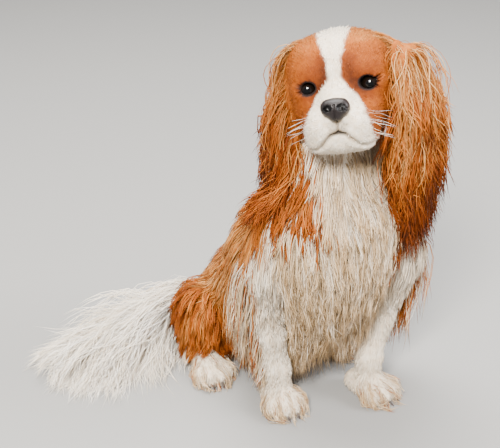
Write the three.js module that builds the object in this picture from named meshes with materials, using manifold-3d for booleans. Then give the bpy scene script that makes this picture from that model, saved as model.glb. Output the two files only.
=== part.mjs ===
// A life-size still model of a seated Cavalier King Charles spaniel, chestnut and white.
// Millimetres, +Z up. The dog faces -Y, its left side is +X, and it rests on the plane Z = 0.
import * as THREE from "three";
import { mergeVertices } from "three/addons/utils/BufferGeometryUtils.js";
import Module from "manifold-3d";

const wasm = await Module();
wasm.setup();

// Driving sizes of the animal.
const GAP = 0.3; // free space left between two nodes that touch
const EYE_RADIUS = 11;
const EYE_SPACING = 58; // between the centres of the eyes

// Depth of coat over the skin: the short hair of the face and feet in full, and elsewhere the dense coat that
// the locks grow out of, less than half of the way to their tips.
const FACE_COAT = 3;
const BODY_COAT = 6;
const LEG_COAT = 4;

// How the head is carried, seen from the dog: turned to its right, nose raised, left eye higher.
const HEAD_TURN = THREE.MathUtils.degToRad(36);
const HEAD_RAISE = THREE.MathUtils.degToRad(13);
const HEAD_TILT = THREE.MathUtils.degToRad(10);
const EYE_MIDPOINT = [-7, -12, 362];

// Colours of the coat and of the bare parts.
const CHESTNUT = new THREE.MeshStandardMaterial({ color: 0xb5652d, roughness: 0.75, metalness: 0 });
const WHITE = new THREE.MeshStandardMaterial({ color: 0xe9dfcd, roughness: 0.8, metalness: 0 });
const DARK_SKIN = new THREE.MeshStandardMaterial({ color: 0x2a2224, roughness: 0.45, metalness: 0 });
const EYE = new THREE.MeshStandardMaterial({ color: 0x140c0a, roughness: 0.05, metalness: 0 });

const BOTH = [-1, 1]; // the dog's right side, then its left
const vec = (p) => new THREE.Vector3(p[0], p[1], p[2]);

// A closed geometry as a solid that can be joined and cut.
function solid(geometry) {
  const bare = geometry.clone();
  bare.deleteAttribute("normal");
  bare.deleteAttribute("uv");
  const merged = mergeVertices(bare, 1e-3);
  return new wasm.Manifold(
    new wasm.Mesh({
      numProp: 3,
      vertProperties: new Float32Array(merged.attributes.position.array),
      triVerts: new Uint32Array(merged.index.array),
    }),
  );
}

const join = (solids) => wasm.Manifold.union(solids);

// The largest closed body of a solid, as a mesh geometry. It is looked for again in the finished 32-bit mesh,
// where two bodies that hang together by less than the rounding have come apart.
const largest = (made) => made.decompose().reduce((a, b) => (b.volume() > a.volume() ? b : a));

function geometryOf(made) {
  const mesh = largest(made).getMesh();
  const geometry = new THREE.BufferGeometry();
  geometry.setAttribute("position", new THREE.BufferAttribute(new Float32Array(mesh.vertProperties), 3));
  geometry.setIndex(new THREE.BufferAttribute(new Uint32Array(mesh.triVerts), 1));
  if (solid(geometry).decompose().length > 1) return geometryOf(largest(solid(geometry)));
  geometry.computeVertexNormals();
  return geometry;
}

// A solid from its corners and triangles, which may all face out or all face in.
function bodyOf(position, index) {
  const geometry = new THREE.BufferGeometry();
  geometry.setAttribute("position", new THREE.Float32BufferAttribute(position, 3));
  geometry.setIndex(index);
  const made = solid(geometry);
  if (made.volume() > 0) return made;
  geometry.setIndex(index.reverse());
  return solid(geometry);
}

// A closed body through rings of points. A ring of one point closes an end to a tip. Each square between two
// rings is split along the diagonal that is shorter in the rings given as split.
function loft(rings, split = rings) {
  const position = [];
  const index = [];
  const starts = [];
  for (const ring of rings) {
    starts.push(position.length / 3);
    for (const p of ring) position.push(p.x, p.y, p.z);
  }
  for (let r = 0; r + 1 < rings.length; r++) {
    const [a, b] = [rings[r].length, rings[r + 1].length];
    const [i, j] = [starts[r], starts[r + 1]];
    const [near, far] = [split[r], split[r + 1]];
    for (let k = 0; k < Math.max(a, b); k++) {
      const [here, next, over, beyond] = [k % a, (k + 1) % a, k % b, (k + 1) % b];
      if (a > 1 && b > 1 && near[here].distanceTo(far[beyond]) < near[next].distanceTo(far[over])) {
        index.push(i + here, i + next, j + beyond, i + here, j + beyond, j + over);
        continue;
      }
      if (a > 1) index.push(i + here, i + next, j + over);
      if (b > 1) index.push(i + next, j + beyond, j + over);
    }
  }
  return bodyOf(position, index);
}

// Forms of flesh. Each is a distance: how far a point lies outside it, in millimetres.
// An oval has a centre, three radii and a lean about X in degrees.
function oval(centre, radii, lean = 0) {
  const middle = vec(centre);
  const unlean = new THREE.Matrix4().makeRotationX(-THREE.MathUtils.degToRad(lean));
  const least = Math.min(...radii);
  return (p) => {
    const q = p.clone().sub(middle).applyMatrix4(unlean);
    return (Math.hypot(q.x / radii[0], q.y / radii[1], q.z / radii[2]) - 1) * least;
  };
}

// A rod runs between two stations [x, y, z, radius]. It may be squeezed flat, to a share of its width, in the
// direction that it faces.
function rod(a, b, flatness, facing) {
  const start = vec(a);
  const run = vec(b).sub(start);
  const axis = vec(facing).normalize();
  return (p) => {
    const off = p.clone().sub(start);
    const t = THREE.MathUtils.clamp(off.dot(run) / run.lengthSq(), 0, 1);
    off.addScaledVector(run, -t);
    off.addScaledVector(axis, (1 / flatness - 1) * off.dot(axis));
    return (off.length() - (a[3] + (b[3] - a[3]) * t)) * flatness;
  };
}

const rods = (stations, flatness = 1, facing = [0, 0, 1]) =>
  stations.slice(1).map((station, k) => rod(stations[k], station, flatness, facing));

// The forms flow into one another over about soft millimetres.
function blended(forms, soft) {
  return (p) => -soft * Math.log(forms.reduce((sum, form) => sum + Math.exp(-form(p) / soft), 0));
}

// A ray square to a line at share t of it, or fanned out from its end by less than a right angle. Angle 0 is
// the direction across.
function spoke(line, across, t, angle, fan = Math.PI / 2) {
  const curve = new THREE.CatmullRomCurve3(line.map(vec));
  const along = curve.getTangent(t);
  const deep = new THREE.Vector3().crossVectors(along, vec(across)).normalize();
  const wide = new THREE.Vector3().crossVectors(deep, along).normalize();
  const ray = along
    .multiplyScalar(-Math.cos(fan))
    .addScaledVector(wide, Math.sin(fan) * Math.cos(angle))
    .addScaledVector(deep, Math.sin(fan) * Math.sin(angle));
  return { origin: curve.getPoint(t), ray };
}

// The point where a ray from inside a form comes out at the given depth of coat over it.
function reachOut(origin, ray, form, depth, reach) {
  let out = reach;
  for (let step = 0; step < 60; step++) {
    const free = form(origin.clone().addScaledVector(ray, out)) - depth;
    if (free < 0.01) break;
    out -= free * 0.9;
  }
  return origin.clone().addScaledVector(ray, out);
}

// A closed mesh drawn over a flesh form at the given depth of coat. Rays run out square to a line inside
// the form, and fan out from its two ends.
function wrap(line, form, { sides, steps, dome, depth, reach = 150, across = [1, 0, 0] }) {
  const places = [];
  for (let k = 0; k < dome; k++) places.push([0, (k * Math.PI) / 2 / dome]);
  for (let k = 0; k <= steps; k++) places.push([k / steps, Math.PI / 2]);
  for (let k = dome - 1; k >= 0; k--) places.push([1, Math.PI - (k * Math.PI) / 2 / dome]);
  const rings = places.map(([t, fan]) => {
    const count = fan === 0 || fan === Math.PI ? 1 : sides;
    return Array.from({ length: count }, (_, i) => {
      const { origin, ray } = spoke(line, across, t, (2 * Math.PI * i) / sides, fan);
      return reachOut(origin, ray, form, depth, reach);
    });
  });
  return loft(rings);
}

// A limb of oval section along a smooth line, with a dome at each end. Each station is [x, y, z, half width,
// half depth], and width is the direction of the half width.
const DOME = 0.15; // share of a limb's length in each dome
function limb(stations, { sides, steps, width }) {
  const line = new THREE.CatmullRomCurve3(stations.map(vec));
  const sizes = new THREE.CatmullRomCurve3(stations.map((s) => new THREE.Vector3(s[3], s[4], 0)));
  const dome = (share) => {
    const left = Math.max(0, 1 - share / DOME);
    return Math.sqrt(1 - left * left);
  };
  const rings = [];
  for (let k = 0; k <= steps; k++) {
    // Rings crowd towards the two ends, where the domes are.
    const t = 0.5 - 0.5 * Math.cos((Math.PI * k) / steps);
    const centre = line.getPoint(t);
    const along = line.getTangent(t);
    const deep = new THREE.Vector3().crossVectors(along, vec(width)).normalize();
    const wide = new THREE.Vector3().crossVectors(deep, along).normalize();
    const size = sizes.getPoint(t);
    const fullness = dome(t) * dome(1 - t);
    if (k === 0 || k === steps) {
      rings.push([centre]);
      continue;
    }
    rings.push(
      Array.from({ length: sides }, (_, i) => {
        const angle = (2 * Math.PI * i) / sides;
        return centre
          .clone()
          .addScaledVector(wide, Math.cos(angle) * size.x * fullness)
          .addScaledVector(deep, Math.sin(angle) * size.y * fullness);
      }),
    );
  }
  return loft(rings);
}

// A repeatable run of numbers from 0 to 1.
function stream(seed) {
  let state = seed;
  return () => {
    state = (state * 1664525 + 1013904223) % 4294967296;
    return state / 4294967296;
  };
}

// The direction in which a form falls away fastest at a point.
function slope(form, p) {
  const step = 0.5;
  const along = (x, y, z) => form(p.clone().add(vec([x, y, z]))) - form(p.clone().sub(vec([x, y, z])));
  return vec([along(step, 0, 0), along(0, step, 0), along(0, 0, step)]).normalize();
}

// The nearest of several forms, each at its own depth of coat.
function nearest(coated) {
  return (p) => coated.reduce((least, [form, depth]) => Math.min(least, form(p) - depth), Infinity);
}

// Hair in flat, tapered locks. Each is widest a quarter of the way along, and its root is sunk in the coat.
const ROOT_SUNK = 4;
const LOCK_WIDTHS = [0.75, 1, 0.9, 0.62, 0.3]; // shares of the full width, from the root on
const LOCK_THICKNESS = 0.26; // a share of the width
const OVER_FLOOR = 3; // lowest middle line of a lock that lies on the floor
const DOWN = vec([0, 0, -1]);
const LEAST_TURN = 0.4; // a lock keeps its last face where the next one would be less clear than this

// Root places on a form. A row is [share of the line, first angle, last angle in degrees, count].
function roots({ line, form, depth, rows, across = [1, 0, 0], reach = 130 }, draw) {
  return rows.flatMap(([t, from, to, count]) =>
    Array.from({ length: count }, (_, k) => {
      const share = (k + 0.5 + 0.5 * (draw() - 0.5)) / count;
      const angle = THREE.MathUtils.degToRad(from + (to - from) * share);
      const place = THREE.MathUtils.clamp(t + 0.05 * (draw() - 0.5), 0, 1);
      const { origin, ray } = spoke(line, across, place, angle);
      const at = reachOut(origin, ray, form, depth, reach);
      return { at, out: slope(form, at) };
    }),
  );
}

// The middle line of one lock: it leaves its root along the lie of the coat, bends over what lies below, and
// sinks under its own weight as far as droop lets it.
function lay(root, region, draw) {
  const { lie, length, lift, droop = 0, rise = 0.5, cling = 0, sway = 2, bends = 4, over } = region;
  const flow = vec(typeof lie === "function" ? lie(root) : lie).normalize();
  const heading = flow.clone().addScaledVector(root.out, rise).normalize();
  const aside = new THREE.Vector3().crossVectors(root.out, flow).normalize();
  const phase = 2 * Math.PI * draw();
  const reach = length * (0.85 + 0.3 * draw());
  const height = lift * (draw() < 0.5 ? 0.8 : 1.3); // neighbours lie in two layers
  const points = [root.at.clone().addScaledVector(root.out, -ROOT_SUNK), root.at.clone()];
  const face = region.face ? vec(region.face) : root.out;
  const faces = [face, face];
  const p = root.at.clone();
  for (let k = 1; k <= bends; k++) {
    const last = p.clone();
    heading.addScaledVector(DOWN, droop).normalize();
    p.addScaledVector(heading, reach / bends).addScaledVector(aside, sway * Math.sin(phase + 2.2 * k));
    const high = height * (0.6 + (0.6 * k) / bends); // the next row's roots go under its tip
    for (let pass = 0; pass < 3; pass++) {
      const free = over(p) - high;
      p.addScaledVector(slope(over, p), free < 0 ? -free : -free * cling);
    }
    p.z = Math.max(p.z, OVER_FLOOR);
    heading.copy(p).sub(last).normalize().lerp(flow, 0.35).normalize();
    // The lock keeps its flat side to what it lies on, and turns over no faster than it can.
    const turned = faces[faces.length - 1].clone().add(slope(over, p));
    turned.addScaledVector(heading, -turned.dot(heading));
    points.push(p.clone());
    faces.push(turned.length() > LEAST_TURN ? turned.normalize() : faces[faces.length - 1]);
  }
  return { points, faces };
}

// The rings of one lock: three corners to a section, a ridge along the top over a flat underside. A grown
// lock takes in its own size and the gap all round it.
function lockRings({ points, faces, width }, grow) {
  const last = points.length - 1;
  return points.map((p, k) => {
    const along = points[Math.min(k + 1, last)].clone().sub(points[Math.max(k - 1, 0)]).normalize();
    if (k === 0 || k === last) return [p.clone().addScaledVector(along, k ? grow : -grow)];
    const wide = new THREE.Vector3().crossVectors(faces[k], along).normalize();
    const deep = new THREE.Vector3().crossVectors(along, wide).normalize();
    const half = (width * LOCK_WIDTHS[k - 1]) / 2;
    const ridge = 2 * half * LOCK_THICKNESS;
    return [
      p.clone().addScaledVector(wide, half + 3 * grow).addScaledVector(deep, -grow),
      p.clone().addScaledVector(deep, ridge + 2 * grow),
      p.clone().addScaledVector(wide, -half - 3 * grow).addScaledVector(deep, -grow),
    ];
  });
}

const lockSolid = (lock, grow) => loft(lockRings(lock, grow), lockRings(lock, 0));

// A lock that bends so tightly that it runs through itself has a part that is inside out.
const folded = (lock) => lockSolid(lock, 0).subtract(lockSolid(lock, GAP)).volume() < -0.01;

function coat(region, seed) {
  const draw = stream(seed);
  return roots(region, draw)
    .filter(({ at }) => !region.under || region.under(at) > 0)
    .map((root) => ({ ...lay(root, region, draw), width: region.width * (0.85 + 0.3 * draw()) }))
    .filter((lock) => !folded(lock));
}

// The head is shaped in its own frame: origin midway between the eyes, +X to the dog's left, -Y ahead, +Z up.
const headFrame = new THREE.Matrix4()
  .makeTranslation(...EYE_MIDPOINT)
  .multiply(new THREE.Matrix4().makeRotationZ(-HEAD_TURN))
  .multiply(new THREE.Matrix4().makeRotationX(-HEAD_RAISE))
  .multiply(new THREE.Matrix4().makeRotationY(-HEAD_TILT));
const onHead = (made) => made.transform(headFrame.elements.slice());

// The eyeball, set back so that the lids cover its rim.
const EYE_SET_BACK = 3;
function eyeball(side, grow = 0) {
  const ball = new THREE.SphereGeometry(EYE_RADIUS + grow, 10, 7);
  return onHead(solid(ball.translate((side * EYE_SPACING) / 2, EYE_SET_BACK, 0)));
}

// The nose leather, with its two nostrils.
function nose(grow = 0) {
  const form = blended([oval([0, -47, -12], [14, 9, 9.5]), oval([0, -46, -21], [8, 8, 6])], 2);
  const line = [[0, -44, -12], [0, -44, -17]];
  const pad = wrap(line, form, { sides: 12, steps: 1, dome: 3, depth: grow, reach: 30 });
  if (grow) return onHead(pad);
  const holes = BOTH.map((side) => {
    const hole = new THREE.SphereGeometry(1, 8, 5).scale(3.2, 4.5, 3).translate(side * 6.5, -56, -12);
    return solid(hole);
  });
  return onHead(pad.subtract(join(holes)));
}

// Skull, stop, brows, cheeks, muzzle, flews and chin.
const headFlesh = blended(
  [
    oval([0, 36, 6], [47, 48, 45]),
    oval([0, 13, 17], [39, 22, 28]),
    oval([0, 16, -36], [27, 36, 21]),
    oval([0, -21, -44], [18, 19, 10]),
    oval([0, -16, -9], [15, 34, 13], 8),
    ...BOTH.flatMap((side) => [
      oval([side * 24, 4, 14], [13, 10, 8]),
      oval([side * 27, 22, -18], [20, 33, 27]),
      oval([side * 14, -20, -29], [17, 26, 15]),
    ]),
  ],
  4,
);

function headShell(depth) {
  return wrap([[0, 30, -8], [0, -12, -22]], headFlesh, {
    sides: 18, steps: 5, dome: 5, depth: FACE_COAT + depth, reach: 110,
  });
}

// The upper and the lower lid of one eye: a soft rim round the part of the ball that shows.
const LID_OPENING = [10, 6.6]; // half width and half height
function lids(side) {
  const rings = 12;
  const section = 5;
  const position = [];
  const index = [];
  for (let r = 0; r < rings; r++) {
    const angle = (2 * Math.PI * r) / rings;
    const x = LID_OPENING[0] * Math.cos(angle);
    const z = LID_OPENING[1] * Math.sin(angle);
    const ball = EYE_RADIUS + 0.8;
    const ahead = Math.sqrt(Math.max(0, ball * ball - x * x - z * z));
    const outward = vec([Math.cos(angle), 0, Math.sin(angle)]);
    for (let i = 0; i < section; i++) {
      const turn = (2 * Math.PI * i) / section;
      const p = vec([x, EYE_SET_BACK - ahead, z])
        .addScaledVector(outward, 1.4 + 1.9 * Math.cos(turn))
        .add(vec([0, -1.9 * Math.sin(turn), 0]));
      position.push(side * EYE_SPACING * 0.5 + p.x, p.y, p.z);
      const [j, n] = [(i + 1) % section, (r + 1) % rings];
      const [a, b, c, d] = [r * section + i, r * section + j, n * section + i, n * section + j];
      index.push(a, c, b, b, c, d);
    }
  }
  return bodyOf(position, index);
}

// The line of the mouth: a groove between the flews and the chin, and the cleft under the nose.
function mouthLine() {
  const lip = [[0, -45, -42], [8, -45, -44], [17, -38, -48], [25, -24, -49], [30, -8, -44]];
  const halves = BOTH.map((side) =>
    limb(lip.map(([x, y, z]) => [side * x, y, z, 1.8, 3]), { sides: 6, steps: 9, width: [0, 0, 1] }),
  );
  const down = [[0, -49, -30, 1.3, 2.4], [0, -47, -42, 1.3, 2.4]];
  const cleft = limb(down, { sides: 6, steps: 4, width: [1, 0, 0] });
  return join([...halves, cleft]);
}

// The hollow in the coat in front of each eye.
function socket(side) {
  const hollow = new THREE.SphereGeometry(1, 10, 6).scale(12.5, 10, 9.5);
  return solid(hollow.translate((side * EYE_SPACING) / 2, EYE_SET_BACK - 12, 0));
}

function head(grow = 0) {
  if (grow) return onHead(headShell(grow));
  const face = headShell(0).subtract(join([socket(-1), socket(1)]));
  return onHead(join([face, lids(-1), lids(1)]).subtract(mouthLine()));
}

// Skin forms of the trunk, and how far a point lies outside them.
const trunk = blended(
  [
    oval([4, 4, 222], [58, 46, 46]),
    oval([2, -18, 198], [38, 26, 36]),
    oval([5, 26, 176], [62, 52, 56]),
    oval([-12, 62, 178], [50, 42, 44]),
    oval([-6, 66, 144], [60, 52, 56], 20),
    oval([-13, 98, 110], [56, 48, 52], 20),
    oval([-18, 130, 78], [54, 44, 50]),
    oval([-26, 158, 52], [46, 38, 42]),
  ],
  12,
);
const NAPE = [[22, 34, 326], [12, 27, 284], [1, 15, 238]]; // middle of the neck, from the skull down
const throat = blended(rods([[...NAPE[0], 36], [...NAPE[1], 40], [...NAPE[2], 48]]), 8);

// An ear hangs plumb from the side of the crown. Its leather is cupped towards the cheek and its hair falls
// far below it. Both ears hang a little to the dog's left, as the head leans to its right.
const EAR_SHIFT = 11;
const EAR_ROOT_UP = 34; // above the eyes
const EAR_LEATHER = 138; // from the root to where only hair goes on
const EAR_FLATNESS = 0.36; // thickness as a share of the width
const skull = (p) => headFlesh(p.clone().applyMatrix4(new THREE.Matrix4().copy(headFrame).invert()));

function earPlace(side, out, back, up) {
  const turned = vec([side * out + EAR_SHIFT, back, 0]).applyAxisAngle(vec([0, 0, 1]), -HEAD_TURN);
  return [EYE_MIDPOINT[0] + turned.x, EYE_MIDPOINT[1] + turned.y, EYE_MIDPOINT[2] + side * 6 + up];
}

const earLine = (side) => [
  [...earPlace(side, 42, 20, EAR_ROOT_UP), 12],
  [...earPlace(side, 54, 24, EAR_ROOT_UP - 22), 21],
  [...earPlace(side, 62, 26, EAR_ROOT_UP - 54), 25],
  [...earPlace(side, 64, 27, EAR_ROOT_UP - 96), 26],
  [...earPlace(side, 64, 27, EAR_ROOT_UP - EAR_LEATHER), 17],
];
const earFacing = (side) => vec([0.9, -side * 0.45, 0]).applyAxisAngle(vec([0, 0, 1]), -HEAD_TURN);
const earForm = (side) => blended(rods(earLine(side), EAR_FLATNESS, earFacing(side).toArray()), 2);

function ear(side) {
  const stations = earLine(side);
  const facing = earFacing(side);
  const across = vec([0.45, side * 0.9, 0]).applyAxisAngle(vec([0, 0, 1]), -HEAD_TURN).toArray();
  const form = earForm(side);
  const shape = { sides: 10, steps: 5, dome: 2, reach: 60, across };
  const region = {
    line: stations, form, depth: 0, across, reach: 60,
    rows: [[0.06, 30, 150, 3], [0.34, -10, 190, 4], [0.66, -20, 200, 5], [0.98, -20, 340, 6]],
    lie: [0, 0, -1], length: 78, width: 20, lift: 6, droop: 0.3, rise: 0.6, cling: 0.3,
    over: nearest([[form, 0], [skull, FACE_COAT], [throat, BODY_COAT], [trunk, BODY_COAT]]),
  };
  const cup = solid(new THREE.SphereGeometry(1, 10, 6).scale(5, 16, 34))
    .rotate([0, 0, THREE.MathUtils.radToDeg(Math.atan2(facing.y, facing.x))])
    .translate(vec(earPlace(side, 58, 25, EAR_ROOT_UP - 56)).addScaledVector(facing, -side * 11).toArray());
  const core = (grow) => {
    const leather = wrap(stations, form, { ...shape, depth: grow });
    return grow ? leather : leather.subtract(cup);
  };
  return { core, locks: coat(region, 11 + side) };
}

// What the locks of the body lie over.
const FORE_PAW = { [-1]: { at: [-52, 14, 0], turn: 2 }, 1: { at: [46, -10, 0], turn: 24 } };
const HIND_PAW = { [-1]: { at: [-97, 98, 0], turn: -6 }, 1: { at: [60, 84, 0], turn: 16 } };

// Shoulder, elbow, wrist and foot of each foreleg, with their radii. The left elbow stands out more.
const ARM = {
  [-1]: [
    [-48, 20, 214, 24], [-57, 24, 172, 24], [-58, 33, 130, 17], [-56, 24, 84, 12], [-52, 16, 44, 11],
    [-52, 14, 18, 11],
  ],
  1: [
    [60, 0, 214, 25], [76, 0, 172, 25], [76, 8, 130, 18], [64, 2, 84, 12], [47, -7, 44, 11],
    [46, -10, 18, 11],
  ],
};
const arm = { [-1]: blended(rods(ARM[-1]), 5), 1: blended(rods(ARM[1]), 5) };

// Thigh and heel of each hind leg, set from where the foot stands.
const thighMiddle = (side) => [HIND_PAW[side].at[0] + side * -10, HIND_PAW[side].at[1] + 38, 50];
const thigh = { [-1]: oval(thighMiddle(-1), [25, 42, 38], -24), 1: oval(thighMiddle(1), [25, 42, 38], -24) };

const body = nearest([
  [trunk, BODY_COAT], [throat, BODY_COAT], [arm[-1], LEG_COAT], [arm[1], LEG_COAT],
  [thigh[-1], BODY_COAT], [thigh[1], BODY_COAT], [skull, FACE_COAT],
]);
const underEars = nearest([[earForm(-1), 5], [earForm(1), 5]]);
const clearOf = (...forms) => nearest([[underEars, 0], ...forms.map((form) => [form, BODY_COAT])]);

function neck() {
  const locks = coat(
    {
      line: NAPE, form: throat, depth: BODY_COAT,
      rows: [[0.5, 0, 360, 8], [0.9, 0, 360, 10]],
      lie: [0, 0, -1], length: 64, width: 27, lift: 6, cling: 0.6, bends: 3, over: body,
      under: clearOf(skull),
    },
    21,
  );
  const core = (grow) => wrap(NAPE, throat, { depth: BODY_COAT + grow, steps: 4, sides: 14, dome: 3 });
  return { core, locks };
}

// The trunk is one form of flesh. The plane between breast and ribs leans with the shoulders.
const SPINE = [[4, 4, 222], [0, 36, 172], [-13, 98, 108], [-25, 156, 56]];
const trunkCore = (grow) => wrap(SPINE, trunk, { sides: 16, steps: 8, dome: 3, depth: BODY_COAT + grow });
const BREAST_ENDS = 46; // Y where the plane crosses the height of the shoulder
const SHOULDER_LEAN = 38;
const BREAST = solid(new THREE.BoxGeometry(400, 400, 600).translate(0, -200, 0))
  .rotate([SHOULDER_LEAN, 0, 0])
  .translate([0, BREAST_ENDS, 180]);

function chest() {
  const line = [[4, 6, 250], [4, 8, 112]];
  const front = {
    line, form: trunk, depth: BODY_COAT,
    rows: [[0.16, 35, 145, 4], [0.4, 10, 170, 5], [0.64, 20, 160, 5]],
    lie: [0, 0, -1], length: 66, width: 25, lift: 8, cling: 0.5, bends: 3, over: body,
    under: clearOf(throat),
  };
  // Below the breast the hair hangs free between the forelegs, nearly to the floor.
  const bib = {
    line, form: trunk, depth: BODY_COAT,
    rows: [[0.84, 25, 155, 5], [0.97, 5, 175, 5]],
    lie: [0, 0, -1], length: 88, width: 22, lift: 7, rise: 0.25, droop: 0.6, over: body,
    under: clearOf(arm[-1], arm[1]),
  };
  // A thin fringe hangs behind the elbows.
  const fringe = {
    line: [[-4, 44, 118], [-4, 92, 110]], form: trunk, depth: BODY_COAT,
    rows: [0.1, 0.5, 0.9].flatMap((t) => [[t, 150, 176, 2], [t, 4, 30, 2]]),
    lie: [0, 0.1, -1], length: 78, width: 19, lift: 3, droop: 0.8, bends: 3, over: body,
    under: clearOf(arm[-1], arm[1], thigh[-1], thigh[1]),
  };
  const core = (grow) => trunkCore(grow).intersect(BREAST.translate([0, grow, 0]));
  return { core, locks: [...coat(front, 31), ...coat(bib, 32), ...coat(fringe, 33)] };
}

function torso() {
  const back = {
    line: SPINE, form: trunk, depth: BODY_COAT,
    rows: [
      [0.32, 185, 355, 5], [0.48, 195, 345, 4], [0.64, 185, 355, 5], [0.8, 195, 345, 4],
      [0.96, 190, 350, 4],
    ],
    lie: ({ out }) => [-0.05, 0.62 - 0.2 * Math.abs(out.x), -0.7 - 0.3 * Math.abs(out.x)],
    length: 74, width: 30, lift: 8, cling: 0.6, bends: 3, over: body,
    under: clearOf(throat, thigh[-1], thigh[1]),
  };
  const core = (grow) => trunkCore(grow).subtract(BREAST.translate([0, GAP - grow, 0]));
  return { core, locks: coat(back, 41) };
}

// A paw with its four toes, in short hair.
function paw({ at, turn }) {
  const forms = [oval([0, 0, 12], [17, 24, 16]), oval([0, 16, 10], [12, 12, 12])];
  for (const [x, y] of [[-15, -15], [-5.5, -22], [5.5, -22], [15, -15]]) {
    forms.push(oval([x, y, 9], [6.5, 11, 9.5]));
  }
  const form = blended(forms, 1.6);
  const line = [[0, 8, 10], [0, -8, 9]];
  const shape = { sides: 12, steps: 2, dome: 3, reach: 60 };
  const core = (grow) =>
    wrap(line, form, { ...shape, depth: FACE_COAT + grow }).rotate([0, 0, turn]).translate(at);
  return { core };
}

// A foreleg with longer hair on the shoulder and a feather behind the elbow and forearm.
function foreleg(side) {
  const stations = ARM[side];
  const outer = side > 0 ? [-50, 70] : [110, 230];
  const upper = {
    line: stations, form: arm[side], depth: LEG_COAT, reach: 60,
    rows: [[0.08, ...outer, 3], [0.28, ...outer, 3]],
    lie: [0, 0.25, -1], length: 50, width: 21, lift: 4, rise: 0.2, cling: 0.8, bends: 3, over: body,
    under: clearOf(),
  };
  const feather = {
    line: stations, form: arm[side], depth: LEG_COAT, reach: 60,
    rows: [[0.42, 225, 315, 3], [0.56, 235, 305, 2], [0.7, 240, 300, 2]],
    lie: [0, 0.35, -1], length: 66, width: 17, lift: 6, rise: 0.6, droop: 0.3, bends: 3, over: body,
    under: clearOf(trunk),
  };
  const shape = { sides: 10, steps: 8, dome: 2, reach: 60 };
  const core = (grow) => wrap(stations, arm[side], { ...shape, depth: LEG_COAT + grow });
  return { core, locks: [...coat(upper, 51 + side), ...coat(feather, 54 + side)] };
}

// The haunch in its trousers of hair, and the heel that runs forward from under it to the paw.
function hindleg(side) {
  const [x, y] = HIND_PAW[side].at;
  const [across, middle, height] = thighMiddle(side);
  const line = [[across, middle - 14, height - 2], [across, middle + 14, height + 4]];
  const outer = side > 0 ? [-80, 60] : [120, 260];
  const trousers = {
    line, form: thigh[side], depth: BODY_COAT, reach: 90,
    rows: [[0.05, ...outer, 3], [0.5, ...outer, 4], [0.95, ...outer, 3]],
    lie: [0, 0.45, -0.9], length: 56, width: 22, lift: 7, cling: 0.4, droop: 0.15, bends: 3, over: body,
    under: clearOf(trunk),
  };
  const foot = blended(rods([[x, y + 54, 18, 12], [x, y + 26, 14, 12], [x, y + 4, 13, 12]]), 3);
  const core = (grow) => {
    const haunch = wrap(line, thigh[side], { sides: 12, steps: 2, dome: 3, depth: BODY_COAT + grow });
    const heel = wrap([[x, y + 52, 17], [x, y + 6, 13]], foot, {
      sides: 8, steps: 2, dome: 2, depth: FACE_COAT + grow, reach: 50,
    });
    return join([haunch, heel]);
  };
  return { core, locks: coat(trousers, 61 + side) };
}

// The tail lies on the floor. Its bone keeps to the far edge of the plume, whose hair sweeps out and down.
const TAIL_BONE = [
  [-36, 184, 42, 17], [-72, 186, 38, 15], [-120, 184, 30, 12], [-168, 178, 21, 10], [-214, 174, 14, 8],
  [-244, 174, 10, 6],
];
function tail() {
  const form = blended(rods(TAIL_BONE), 3);
  const over = nearest([[form, LEG_COAT], [trunk, BODY_COAT], [thigh[-1], BODY_COAT]]);
  const plume = {
    line: TAIL_BONE, form, depth: LEG_COAT, reach: 50, across: [0, -1, 0],
    rows: [[0.16, -10, 70, 2], ...[0.34, 0.52, 0.7].map((t) => [t, -25, 205, 5])],
    lie: ({ out }) => [-0.6, 0.75 * out.y, 0.1 * out.z - 0.1],
    length: 84, width: 23, lift: 6, droop: 0.16, rise: 0.35, face: [0, 0, 1], over, under: clearOf(thigh[-1]),
  };
  const tip = { ...plume, rows: [[0.86, -30, 210, 4], [0.98, -60, 240, 4]], length: 50, width: 19, bends: 3 };
  const shape = { sides: 10, steps: 6, dome: 2, reach: 50, across: [0, -1, 0] };
  const core = (grow) => wrap(TAIL_BONE, form, { ...shape, depth: LEG_COAT + grow });
  return { core, locks: [...coat(plume, 71), ...coat(tip, 72)] };
}

// Every node: its core, made at its own size or grown by the gap, its locks, and the material it shows.
const NODES = [
  ["eye_right", { core: (grow) => eyeball(-1, grow) }, EYE],
  ["eye_left", { core: (grow) => eyeball(1, grow) }, EYE],
  ["nose", { core: nose }, DARK_SKIN],
  ["head", { core: head }, WHITE],
  ["ear_right", ear(-1), CHESTNUT],
  ["ear_left", ear(1), CHESTNUT],
  ["neck", neck(), WHITE],
  ["chest", chest(), WHITE],
  ["foreleg_right", foreleg(-1), WHITE],
  ["foreleg_left", foreleg(1), WHITE],
  ["torso", torso(), CHESTNUT],
  ["hindleg_right", hindleg(-1), CHESTNUT],
  ["hindleg_left", hindleg(1), CHESTNUT],
  ["paw_fore_right", paw(FORE_PAW[-1]), WHITE],
  ["paw_fore_left", paw(FORE_PAW[1]), WHITE],
  ["paw_hind_right", paw(HIND_PAW[-1]), WHITE],
  ["paw_hind_left", paw(HIND_PAW[1]), WHITE],
  ["tail", tail(), WHITE],
];

// Whatever would reach under the plane that the dog sits on is cut off flat there.
const UNDER_FLOOR = solid(new THREE.BoxGeometry(1200, 1200, 200).translate(0, 0, -100));

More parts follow.
